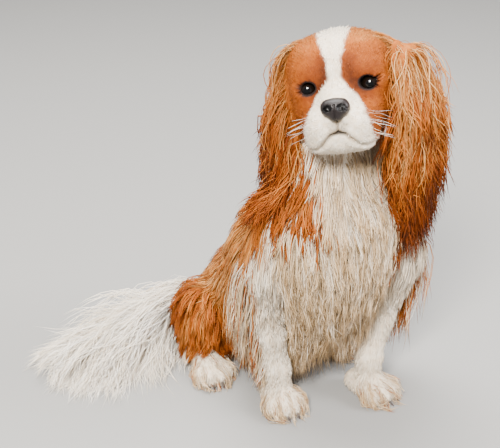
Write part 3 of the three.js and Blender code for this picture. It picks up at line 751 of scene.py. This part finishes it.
def comb(root, out, flow, length, lift, rise, droop, cling, segments, short, sweep):
    """Middle lines of guide hairs, which leave the skin along the lie and bend over what lies below them."""
    along = unit(flow - out * (flow * out).sum(axis=1, keepdims=True))
    if short:
        t = along_strand(segments)[None, :, None]
        over = (lift[:, None] * (1.6 - 0.6 * t[..., 0]) * t[..., 0])[..., None] - 0.5 * (1 - t)
        return root[:, None] + along[:, None] * length[:, None, None] * t + out[:, None] * over
    heading = unit(along + out * rise)
    points = [root - out * ROOT_DEEP]
    p = root
    for k in range(1, segments + 1):
        heading = swung(unit(heading + DOWN * droop), sweep / segments)
        flow = swung(flow, sweep / segments)
        last = p
        p = p + heading * (length / segments)[:, None]
        free, away = around(p)
        lacking = lift * (k / segments) ** 0.6 - free
        p = p + away * np.where(lacking > 0, lacking, lacking * cling)[:, None]
        p[:, 2] = np.maximum(p[:, 2], FLOOR_CLEAR)
        heading = unit(0.7 * unit(p - last) + 0.3 * unit(flow))
        points.append(p)
    return np.stack(points, axis=1)


def waved(guides, out, flow, length, wave, draw):
    """The guide hairs with a wave laid on them, sideways and in depth, that grows away from the root."""
    t = along_strand(guides.shape[1] - 1)
    turn = 2 * pi * (length[:, None] * t / wave[1] + draw[:, :1])
    swing = wave[0] * t * (0.6 + 0.8 * draw[:, 1:])
    guides = guides + unit(np.cross(out, flow))[:, None] * (swing * np.sin(turn))[..., None]
    return guides + out[:, None] * (0.6 * swing * np.cos(turn))[..., None]


def nearest_guide(root, guide_root):
    found = []
    for some in np.array_split(root, max(1, len(root) // 1500)):
        gap = ((some[:, None, :] - guide_root[None]) ** 2).sum(axis=2)
        found.append(gap.argmin(axis=1))
    return np.concatenate(found)


def following(guides, mine, aside, length, gather, frizz):
    """Middle lines of strands that follow a guide from some way aside and bend a little in their own way."""
    count, segments = len(mine), guides.shape[1] - 1
    t = along_strand(segments)
    scale = chance.uniform(0.72, 1.0, count).astype(np.float32)
    where = np.clip(t[None] * scale[:, None] * segments, 0, segments - 1e-4)
    low = where.astype(int)
    share = (where - low)[..., None]
    rows = mine[:, None]
    line = guides[rows, low] * (1 - share) + guides[rows, low + 1] * share
    line = line + aside[:, None] * (1 - gather * t**0.7)[None, :, None]
    own = chance.normal(0, 1, (count, 2, 3)).astype(np.float32)
    bend = own[:, :1] * np.sin(pi * 1.4 * t)[None, :, None] + own[:, 1:] * (t**2)[None, :, None]
    return line + frizz * bend * (length / 45)[:, None, None]


def strand_mesh(name, line, out, width):
    """Three-sided strands round their middle lines, flattened a little, and tapering to a point."""
    count, segments = len(line), line.shape[1] - 1
    t = along_strand(segments)
    along = unit(np.gradient(line, axis=1))
    wide = unit(np.cross(out[:, None], along))
    deep = np.cross(along, wide)
    thick = np.float32(width * chance.uniform(0.7, 1.25, count))[:, None] / 2
    thick = thick * (0.65 + 0.5 * t) * np.clip((1 - t) * 2.6, 0, 1) ** 0.7
    rings = []
    for angle in (0, 2 * pi / 3, 4 * pi / 3):
        side = wide * cos(angle) + deep * (0.7 * sin(angle))
        rings.append(line[:, :-1] + side[:, :-1] * thick[:, :-1, None])
    ring_points = np.stack(rings, axis=2).reshape(count, -1, 3)
    points = np.concatenate([ring_points, line[:, -1:]], axis=1)
    per = points.shape[1]
    sides = [(0, 1, 4, 3), (1, 2, 5, 4), (2, 0, 3, 5)]
    quads = [[3 * k + corner for corner in side] for k in range(segments - 1) for side in sides]
    last = 3 * (segments - 1)
    ends = [(last, last + 1, per - 1), (last + 1, last + 2, per - 1), (last + 2, last, per - 1), (2, 1, 0)]
    start = (np.arange(count) * per)[:, None, None]
    quads = (np.array(quads)[None] + start).reshape(-1, 4)
    ends = (np.array(ends)[None] + start).reshape(-1, 3)
    mesh = bpy.data.meshes.new(name)
    mesh.vertices.add(count * per)
    mesh.loops.add(quads.size + ends.size)
    mesh.polygons.add(len(quads) + len(ends))
    mesh.loops.foreach_set("vertex_index", np.concatenate([quads.ravel(), ends.ravel()]))
    starts = np.concatenate([np.arange(len(quads)) * 4, quads.size + np.arange(len(ends)) * 3])
    mesh.polygons.foreach_set("loop_start", starts)
    settle(mesh, points.reshape(-1, 3))
    mesh.validate()
    return mesh


PATCH = 0.003


def unroll(mesh, root, middle, way, segments):
    """Gives each strand a small patch at its root's place on the skin, unrolled round the way of the part."""
    way = unit(np.float32(way))
    cross_a = unit(np.cross(way, np.float32([0.3, 0.9, 0.1])))
    cross_b = np.cross(way, cross_a)
    aside = root - np.float32(middle)
    up = aside @ way
    u = np.arctan2(aside @ cross_b, aside @ cross_a) / (2 * pi) + 0.5
    v = (up - up.min()) / max(1e-3, np.ptp(up))
    place = 0.005 + 0.985 * np.stack([u, v], axis=1)
    t = along_strand(segments)
    patch = [(PATCH / 2 * i, PATCH * t[k]) for k in range(segments) for i in range(3)] + [(PATCH / 2, PATCH)]
    uv = (place[:, None] + np.float32(patch)[None]).reshape(-1, 2).astype(np.float32)
    layer = mesh.uv_layers.new(name="OFBake")
    loop_corner = np.empty(len(mesh.loops), dtype=np.int32)
    mesh.loops.foreach_get("vertex_index", loop_corner)
    layer.data.foreach_set("uv", uv[loop_corner].ravel())


def grow(
    name, roots, flow, length, width, *, lift=(4, 11), rise=0.5, droop=0.1, cling=0.3, segments=5, clump=9,
    wave=(1.5, 32), gather=0.75, frizz=0.8, middle=(0, 0, 0), way=(0, 0, 1), marked=None, pale=0.0,
    slot="white_coat", short=False, sweep=None, loft=None, barred=None, uneven=1.0, ends_darker=0.0,
):
    """One piece of coat. flow and length may be functions of the roots.

    Guides stand as high as lift, leave the skin with rise, bend with droop and keep to it with cling. clump
    strands share a guide and gather says how far they close up. wave is its height and length.
    """
    root, out = roots
    flow = np.broadcast_to(np.float32(flow(root, out) if callable(flow) else flow), root.shape)
    length = np.broadcast_to(np.float32(length(root) if callable(length) else length), len(root))
    leaders = chance.permutation(len(root))[: max(4, len(root) // clump)]
    draw = chance.random((len(leaders), 4)).astype(np.float32)
    height = lift[0] + (lift[1] - lift[0]) * draw[:, 0]
    if loft:
        height = height * loft(root[leaders])
    guides = comb(
        root[leaders], out[leaders], flow[leaders], length[leaders] * (0.85 + 0.3 * draw[:, 1]), height, rise,
        droop, cling, segments, short, sweep(out[leaders]) if sweep else 0,
    )
    guides = waved(guides, out[leaders], flow[leaders], length[leaders], wave, draw[:, 2:])
    mine = nearest_guide(root, root[leaders])
    line = following(guides, mine, root - root[leaders][mine], length, gather, frizz)
    t = along_strand(segments)
    if not short:
        free, away = around(line)
        line = line + away * np.maximum(0, 0.3 + 0.5 * t - free)[..., None] * (t > 0)[None, :, None]
    line[..., 2] = np.maximum(line[..., 2], STRAND_CLEAR)
    if barred:
        kept = ~barred(line).any(axis=1)
        line, root, out, mine = line[kept], root[kept], out[kept], mine[kept]
    mesh = strand_mesh(name, line, out, width)
    unroll(mesh, root, middle, way, segments)

    count = len(root)
    tan, deep = marked(root, line) if marked else marks(root)
    tan = chance.random(count) < tan
    every = np.append(np.repeat(t[:-1], 3), t[-1])
    tone = 0.25 * (chance.random(len(leaders))[mine] - 0.5) + 0.4 * (chance.random(count) - 0.5)
    stripes = np.append(np.tile([-0.14, 0.1, 0.04], segments), 0.0)
    tone = 0.5 + pale + uneven * (tone[:, None] + stripes[None]) - ends_darker * every[None] ** 2
    if deep.ndim < 2:
        deep = np.repeat(deep[:, None], segments + 1, axis=1)
    deep = np.concatenate([np.repeat(deep[:, :-1], 3, axis=1), deep[:, -1:]], axis=1).ravel()
    set_values(
        mesh, tan=np.repeat(tan, len(every)), deep=deep, tone=np.clip(tone, 0, 1).ravel(),
        tip=np.tile(every, count), bare=np.zeros(deep.size),
    )
    add_piece(name, mesh, hair_finish)


hair_finish, tree, shader = finish("hair", 0.5, 0.12)
tree.links.new(coat_node(tree), shader.inputs["Base Color"])


def by_place(axis, places, lengths):
    """Hair whose length goes by how far along an axis its root is."""
    return lambda root: np.interp(root[:, axis], places, lengths)


def even_marks(tan, deep):
    return lambda root, line: (np.full(len(root), tan), np.full(len(root), deep))


def lie(*way):
    """Directions from three parts, each one number or one for each root."""
    return np.stack(np.broadcast_arrays(*[np.float32(part) for part in way]), axis=1)


# The long ears are leather flaps that hang plumb beside the cheeks. Their wavy chestnut hair falls far below
# them, golden at the top and darker and curlier at the ends.
def ear_marks(root, line):
    deep = np.interp(line[..., 2], [185, 225, 290, 400], [0.9, 0.72, 0.38, 0.26])
    return np.ones(len(root)), np.clip(deep + 0.1 * wander(root, 12, 3)[:, None], 0, 1)


# The hair under the ear is painted darker than the top hair, as painted shade in the gaps between the curls.
def under_ear_shade_marks(root, line):
    tan, deep = ear_marks(root, line)
    return tan, np.clip(deep + 0.22, 0, 1)


def ear_lie(root, out):
    h = in_head(root)
    top = smooth(-30, 26, h[:, 2])[:, None]
    return lie(np.sign(h[:, 0]) * 0.25, 0.1, -0.95) @ to_head[:3, :3] * top + DOWN * (1 - top)


def ear_loft(root):
    return np.interp(in_head(root)[:, 2], [-40, 0, 40], [1.0, 0.6, 0.2])


def astray(line):
    """Over the face, or back across the withers, where ear hair doesn't lie."""
    x, y, z = np.moveaxis(in_head(line), -1, 0)
    face = (x > -50) & (x < 41) & (y < 22) & (z > -48) & (z < 34)
    return face | ((line[..., 1] > 56) & (line[..., 2] < 266))


for side, word in SIDES:
    ear = parts("ear_" + word)
    shared = {"middle": ear_stations(side)[2][:3], "slot": "chestnut_coat"}
    hanging = {**shared, "gather": 0.5, "droop": 0.3, "cling": 0.0, "loft": ear_loft, "barred": astray}
    grow(
        "coat_under_ear_" + word, scatter(1500, ear * (head_z < 4)), ear_lie,
        by_place(2, [260, 330, 400], [66, 70, 50]), 1.8, lift=(5, 10), segments=3, frizz=2.0,
        marked=under_ear_shade_marks, **hanging,
    )
    grow(
        "coat_short_ear_" + word, scatter(1500, ear), ear_lie, 13, 0.9, lift=(0.6, 2), segments=2, clump=5,
        wave=(0.2, 20), gather=0.2, frizz=0.6, short=True, **shared,
    )
    grow(
        "coat_ear_" + word, scatter(2500, ear), ear_lie, by_place(2, [260, 330, 400], [74, 88, 76]), 1.05,
        lift=(8, 17), segments=9, wave=(3.8, 42), frizz=2.4, marked=ear_marks, **hanging,
    )


# The head has short, smooth hair that runs back from the nose over the forehead and cheeks, and parts round
# the eyes. None grows on the lids, lips and nose.
HEAD_HAIR = {
    "middle": tuple(HEAD @ Vector((0, 20, -5))),
    "way": tuple(HEAD.to_3x3() @ Vector((0, 1, 0))),
    "slot": "head_coat",
}


def head_lie(root, out):
    x, y, z = in_head(root).T
    way = np.stack([0.012 * x, np.ones_like(x), np.where(z > -8, 0.45, -0.55)], axis=1)
    off_x, off_z = np.abs(x) - LID_MIDDLE[0], z - LID_MIDDLE[1]
    off = np.hypot(off_x, off_z)
    share = 1.6 * np.exp(-((off / 14) ** 2)) / np.maximum(off, 3)
    return (way + lie(np.sign(x) * off_x * share, 0, off_z * share)) @ to_head[:3, :3]


def head_length(root):
    h = in_head(root)
    near = np.hypot(np.abs(h[:, 0]) - EYE_APART / 2, h[:, 2])
    long = np.interp(h[:, 1], [-45, -20, 10, 30, 60], [3.2, 5.0, 9.0, 18.0, 24.0])
    return long * np.interp(near, [9, 22], [0.4, 1.0]) * np.interp(lip_gap(h)[0], [2, 6], [0.5, 1.0])


front = smooth(40, 10, head_y)
lip, ahead = lip_gap(triangle_head)
shown = parts("head") * (1 - smooth(0.02, 0.12, triangle_bare)) * (1 - ahead * smooth(3.0, 1.8, lip))
shown = shown * np.where(head_y < 14, smooth(1.1, 1.35, lid_share(mirror(triangle_head), 1.1)), 1)
shown = shown * ((np.hypot(head_x / 15, (head_z + 13) / 12) > 1) | (head_y > -38))
for name, count, weight, width, lift in (
    ("coat_head_1", 15500, shown * front, 0.45, (0.1, 0.4)),
    ("coat_head_2", 4200, shown * (1 - front * 0.85), 0.8, (0.6, 2)),
):
    grow(
        name, scatter(count, weight), head_lie, head_length, width, lift=lift, segments=2, clump=4,
        wave=(0.1, 12), gather=0.2, frizz=0.5, short=True, pale=0.1, uneven=0.4, **HEAD_HAIR,
    )


# Longer hair grows from the sides of the crown and falls over the roots of the ears. Whiskers stand out
# stiffly from the pads of the muzzle.
def crown_lie(root, out):
    return lie(np.sign(in_head(root)[:, 0]), 0.5, -0.35) @ to_head[:3, :3]


def whisker_lie(root, out):
    return lie(np.sign(in_head(root)[:, 0]), 0.5, -0.25) @ to_head[:3, :3]


crown = parts("head") * (np.abs(head_x) > 27) * (head_z > 12) * (head_y > 16)
grow(
    "coat_crown", scatter(1200, crown), crown_lie, 50, 0.8, lift=(2.5, 8), rise=0.25, droop=0.16, cling=0.12,
    segments=6, wave=(1.4, 44), gather=0.5, frizz=0.9, marked=ear_marks, barred=astray, **HEAD_HAIR,
)
pads = parts("head") * smooth(10, 14, np.abs(head_x)) * (head_y < -22)
pads = pads * smooth(-16, -20, head_z) * smooth(-42, -38, head_z)
grow(
    "whiskers", scatter(20, pads), whisker_lie, 32, 0.3, lift=(1, 2), rise=0.35, droop=0.07, cling=0.0,
    segments=6, clump=1, wave=(0.8, 60), gather=0.0, marked=even_marks(0.0, 0.0), pale=0.2, **HEAD_HAIR,
)


# The neck, chest and bib are long cream hair that hangs in wavy strands, nearly to the floor between the
# forelegs, darker towards its ends. Its cream is partly its own and partly painted shade in throat and chest.
def chest_lie(root, out):
    return lie(-0.004 * (root[:, 0] - 5), -0.05, -1)


grow(
    "coat_neck", scatter(2700, parts("neck")), (0, -0.05, -1), 44, 1.0, lift=(3, 8), segments=4, clump=12,
    wave=(1.2, 40), gather=0.45, middle=(12, 27, 284), pale=-0.2, uneven=0.7,
)
trunk_front = smooth(40, 14, body_y + 0.12 * (body_z - 150))
for number in (1, 2):
    grow(
        f"coat_chest_{number}", scatter(2900, parts("trunk") * trunk_front * (body_z > 90)), chest_lie,
        by_place(2, [100, 150, 200, 240], [112, 100, 66, 46]), 1.0, lift=(3, 12), rise=0.35, droop=0.3,
        cling=0.15, segments=6, clump=13, wave=(3.0, 56), gather=0.8, frizz=1.3, middle=(5, 20, 170),
        pale=-0.17, ends_darker=0.22,
    )


# The back and flanks are combed back and down to the rump in longer chestnut hair, and a cream fringe hangs
# below.
def back_lie(root, out):
    sideways = np.abs(out[:, 0])
    return lie(-0.05, 0.62 - 0.2 * sideways, -0.7 - 0.3 * sideways)


def fringe_marks(root, line):
    return 0.12 + 0.6 * smooth(48, 80, root[:, 1] + 14 * wander(root, 12, 7)), np.full(len(root), 0.2)


trunk_back = parts("trunk") * (1 - trunk_front)
high = smooth(-0.55, -0.1, triangle_out[:, 2])
for number in (1, 2):
    grow(
        f"coat_back_{number}", scatter(3100, trunk_back * high), back_lie, 56, 1.0, lift=(3, 8), rise=0.3,
        segments=4, clump=12, wave=(0.9, 50), gather=0.35, frizz=0.7,
        middle=(-10, 90, 120), way=(-0.2, 0.75, -0.63), slot="chestnut_coat",
    )
belly = parts("trunk") * (body_y > 20) * (body_y < 84) * (body_z < 130)
belly = belly * smooth(0.35, 0.6, np.abs(triangle_out[:, 0]))
grow(
    "coat_fringe", scatter(1500, belly), (0, 0.06, -1), 84, 1.0, lift=(8, 15), rise=0.4, droop=0.5, cling=0.0,
    wave=(2.4, 44), frizz=1.6, middle=(-5, 60, 110), way=(0, 1, 0), marked=fringe_marks, pale=-0.08,
    ends_darker=0.22,
)

# The forelegs are short-haired in front, with longer hair on the shoulder and feathering that hangs behind
# from the elbow down, more of it chestnut on the left leg.
FEATHER_TAN = {-1: 0.2, 1: 0.6}
FEATHERS = {-1: 1100, 1: 1500}
for side, word in SIDES:
    leg = parts("foreleg_" + word)
    middle = ARM[side][3][:3]
    grow(
        "coat_foreleg_" + word, scatter(3400, leg), (0, 0.06, -1), by_place(2, [40, 110, 180], [13, 20, 28]),
        0.7, lift=(0.8, 2.0), rise=0.12, droop=0.0, cling=0.7, segments=3, clump=8, wave=(0.3, 40),
        gather=0.2, frizz=0.4, middle=middle, pale=0.04, uneven=0.5,
    )
    grow(
        "coat_shoulder_" + word, scatter(1200, leg * (body_z > 118)), (-0.1 * side, 0.05, -1),
        by_place(2, [118, 160, 210], [26, 46, 56]), 0.9, lift=(2, 6), rise=0.25, droop=0.2, segments=4,
        clump=10, wave=(0.8, 50), gather=0.4, frizz=0.7, middle=middle, uneven=0.6,
    )
    behind = leg * smooth(-0.2, 0.5, triangle_out[:, 1] + 0.4 * side * triangle_out[:, 0])
    behind = behind * (body_z > 40) * (body_z < 185)
    if side > 0:
        behind = behind * smooth(90, 120, body_z)
    grow(
        "coat_feather_" + word, scatter(FEATHERS[side], behind), (0.02 * side, 0.16, -1),
        by_place(2, [40, 80, 150], [28, 64, 104]), 1.0, lift=(3, 9), rise=0.3, droop=0.5, cling=0.0,
        wave=(2.2, 36), frizz=1.4, middle=middle, pale=-0.1, marked=even_marks(FEATHER_TAN[side], 0.36),
        ends_darker=0.15,
    )

# The haunches are folded under the dog, in deep chestnut hair that falls to the heel.
for side, word in SIDES:
    grow(
        "coat_haunch_" + word, scatter(1900, parts("hindleg_" + word)), (0.12 * side, -0.12, -1),
        by_place(2, [10, 40, 90], [12, 34, 50]), 1.1, lift=(4, 10), segments=4, clump=12, wave=(1.8, 36),
        gather=0.55, frizz=1.1, middle=THIGH[side][0], slot="chestnut_coat",
    )

# The paws are cream, with curly tufts that fall between the toes over short dark claws. Each claw is a horn
# cone that tips down and forward out of its toe.
CLAW_LONG = 9
CLAW_TIP = 118
claw_finish, tree, shader = finish("claw", 0.35, 0.5)
shader.inputs["Base Color"].default_value = (0.05, 0.035, 0.03, 1)
for name, (place, turn) in FOOT.items():
    ahead = rotation(turn) @ Vector((0, -1, 0))
    grow(
        "coat_paw_" + name, scatter(1700, parts("paw_" + name)), (ahead.x * 0.8, ahead.y * 0.8, -0.75), 7,
        0.7, lift=(0.5, 1.6), segments=2, clump=5, wave=(0.3, 12), gather=0.4, frizz=1.0, short=True,
        middle=place, pale=0.02, uneven=0.5,
    )
    local = (triangle_middle - np.array(place)) @ np.array(rotation(turn).to_3x3())
    between = np.abs(np.abs(local[:, 0]) - 5.5) > 3.5
    between = parts("paw_" + name) * between * (local[:, 1] < 4) * (local[:, 2] > 6)
    grow(
        "coat_toes_" + name, scatter(240, between), (ahead.x, ahead.y, -0.7), 26, 0.8, lift=(2, 5), rise=0.6,
        droop=0.3, segments=6, clump=8, wave=(3.4, 26), gather=0.8, frizz=2.4, middle=place,
        marked=even_marks(0.12, 0.3), pale=-0.3,
    )
    claws = bmesh.new()
    for x, y in TOES:
        made = bmesh.ops.create_cone(
            claws, cap_ends=True, segments=10, radius1=1.9, radius2=0.5, depth=CLAW_LONG
        )["verts"]
        bmesh.ops.rotate(claws, verts=made, cent=(0, 0, 0), matrix=rotation(CLAW_TIP, "X"))
        bmesh.ops.translate(claws, verts=made, vec=(x, y - 12.5, 5.5))
    for vert in claws.verts:
        vert.co = on_foot(name, vert.co) * MM + STAND
    add_piece("claws_" + name, made_mesh("claws_" + name, claws), claw_finish)


# The tail lies on the floor to the dog's right. Its long white plume sweeps out on both sides and round to
# the tip.
def tail_lie(root, out):
    far = smooth(-0.2, 0.5, out[:, 1])
    return lie(-0.65 + 0.3 * far, 1.15 * out[:, 1] + 0.2 * far, 0.2 * out[:, 2] - 0.1)


def tail_sweep(out):
    return 15 + 65 * smooth(-0.4, 0.5, out[:, 1])


grow(
    "coat_tail", scatter(4400, parts("tail")), tail_lie,
    by_place(0, [-244, -200, -150, -80], [40, 86, 112, 112]), 0.9, lift=(6, 22), droop=0.15, cling=0.06,
    segments=6, clump=12, wave=(4.0, 60), gather=0.7, frizz=2.6, middle=(-150, 180, 25), way=(1, 0, 0),
    pale=0.2, sweep=tail_sweep, uneven=0.8,
)

# The eyes are very dark brown, wet balls that show between the lids. Each has its own finish because its
# iris is centred on the way that it looks.
EYE_BALL = 10.5
IRIS_AHEAD = 11
for side, word in SIDES:
    centre = HEAD @ Vector((side * EYE_APART / 2, EYE_SET_BACK, 0))
    ball = bmesh.new()
    bmesh.ops.create_uvsphere(
        ball, u_segments=48, v_segments=32, radius=EYE_BALL * MM,
        matrix=Matrix.Translation(centre * MM + STAND) @ HEAD.to_3x3().to_4x4() @ rotation(90, "X"),
    )
    eye_finish, tree, shader = finish("eye_" + word, 0.04, 0.3)
    iris_middle = (HEAD @ Vector((side * EYE_APART / 2, EYE_SET_BACK - IRIS_AHEAD, 0))) * MM + STAND
    where = add_node(tree, "TexCoord", {})["Object"]
    apart = add_node(tree, "VectorMath", {0: where, 1: iris_middle}, operation="DISTANCE")["Value"]
    iris = ramp(
        tree,
        [(0.34, (0.001, 0.001, 0.001)), (0.42, (0.006, 0.003, 0.002)), (0.8, (0.003, 0.002, 0.001))],
        maths(tree, "MULTIPLY", apart, 100),
    )
    tree.links.new(iris, shader.inputs["Base Color"])
    add_piece("eye_ball_" + word, made_mesh("eye_ball_" + word, ball), eye_finish, ["eye_" + word])

# The nose is black, finely pebbled leather with two comma-shaped nostrils and a groove down the middle. A
# ball is drawn onto its form, and the nostrils are painted darker where they go in, as painted shade.
NOSE_BALL = ((0, -45, -14), (14, 10, 11))
NOSTRIL = ((5.2, -57, -12.2, 3.1), (7.2, -50, -12.6, 2.4))
NOSTRIL_SLIT = ((7.5, -55, -13, 1.2), (12.0, -48, -16.5, 0.8))
NOSTRIL_SHADE_ROD = ((5.2, -57, -12.2, 3.1), (7.2, -52, -12.6, 2.4))
nose_forms = [((0, -46, -13), (11.5, 9.5, 8.6)), ((0, -45, -20.5), (6.5, 8, 4.6))]
nose_forms += [((side * 7.2, -45, -13), (5.6, 8.6, 6.8)) for side in (-1, 1)]
nose_blend = blended([oval(*form) for form in nose_forms], 1.2)


def nose_form(p):
    away = carved(nose_blend(p), rod(*NOSTRIL)(mirror(p)), 0.6)
    away = carved(away, rod(*NOSTRIL_SLIT)(mirror(p)), 0.5)
    groove = np.exp(-((p[:, 0] / 0.8) ** 2)) * (p[:, 2] < -9)
    return away + 0.9 * groove


pad = bmesh.new()
bmesh.ops.create_icosphere(pad, subdivisions=6, radius=1)
bmesh.ops.scale(pad, verts=pad.verts, vec=NOSE_BALL[1])
bmesh.ops.translate(pad, verts=pad.verts, vec=NOSE_BALL[0])
pad_mesh = made_mesh("nose_leather", pad)
draw_on(pad_mesh, nose_form, 10)
nose_points = corners(pad_mesh)
# Painted shade inside the nostrils.
set_values(pad_mesh, hollow=smooth(1.5, 0.1, rod(*NOSTRIL_SHADE_ROD)(mirror(nose_points))))
turned = np.array(HEAD, dtype=np.float32)
settle(pad_mesh, nose_points @ turned[:3, :3].T + turned[:3, 3])
nose_finish, tree, shader = finish("nose_leather", 0.42, 0.3)
place = add_node(tree, "TexCoord", {})["Object"]
pebble = add_node(tree, "TexVoronoi", {"Vector": place, "Scale": 1100})["Distance"]
raise_bumps(tree, shader, pebble, 0.5, 0.0003, sunk=True)
# The pebbles are painted darker towards their sunk edges, as painted shade in the creases between them.
leather = ramp(tree, [(0.0, (0.012, 0.008, 0.008)), (1.0, (0.006, 0.004, 0.004))], pebble)
leather = blend_colours(tree, read_value(tree, "hollow"), leather, (0.001, 0.0008, 0.0008, 1))
tree.links.new(leather, shader.inputs["Base Color"])
add_piece("nose_pad", pad_mesh, nose_finish, ["nose"])

# A plain pale floor, lit softly by large round lamps.
ground = bmesh.new()
bmesh.ops.create_grid(ground, x_segments=1, y_segments=1, size=6)
floor = add_object("floor", made_mesh("floor", ground))
floor_finish, tree, shader = finish("floor", 0.9, 0.2)
shader.inputs["Base Color"].default_value = (0.24, 0.236, 0.228, 1)
floor.data.materials.append(floor_finish)
floor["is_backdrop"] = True

world = bpy.data.worlds.new("studio")
bpy.context.scene.world = world
world.use_nodes = True
sky = world.node_tree.nodes["Background"]
sky.inputs["Color"].default_value = (0.93, 0.96, 1.0, 1)
sky.inputs["Strength"].default_value = 0.65
LAMPS_AIM = Vector((0, 0, 0.2))
LAMPS = [
    ("key", (-1.0, -1.3, 1.7), 0.6, 176, (1.0, 0.96, 0.90)),
    ("fill", (1.5, -0.9, 1.1), 1.0, 68, (0.98, 0.98, 1.0)),
    ("top", (0.1, 0.5, 2.0), 1.4, 126, (1.0, 0.98, 0.94)),
]
for name, place, size, power, colour in LAMPS:
    lamp = bpy.data.lights.new(name, "AREA")
    lamp.shape = "DISK"
    lamp.size = size
    lamp.energy = power
    lamp.color = colour
    holder = add_object(name, lamp)
    holder.location = place
    holder.rotation_euler = (LAMPS_AIM - Vector(place)).to_track_quat("-Z", "Y").to_euler()

low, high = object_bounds()
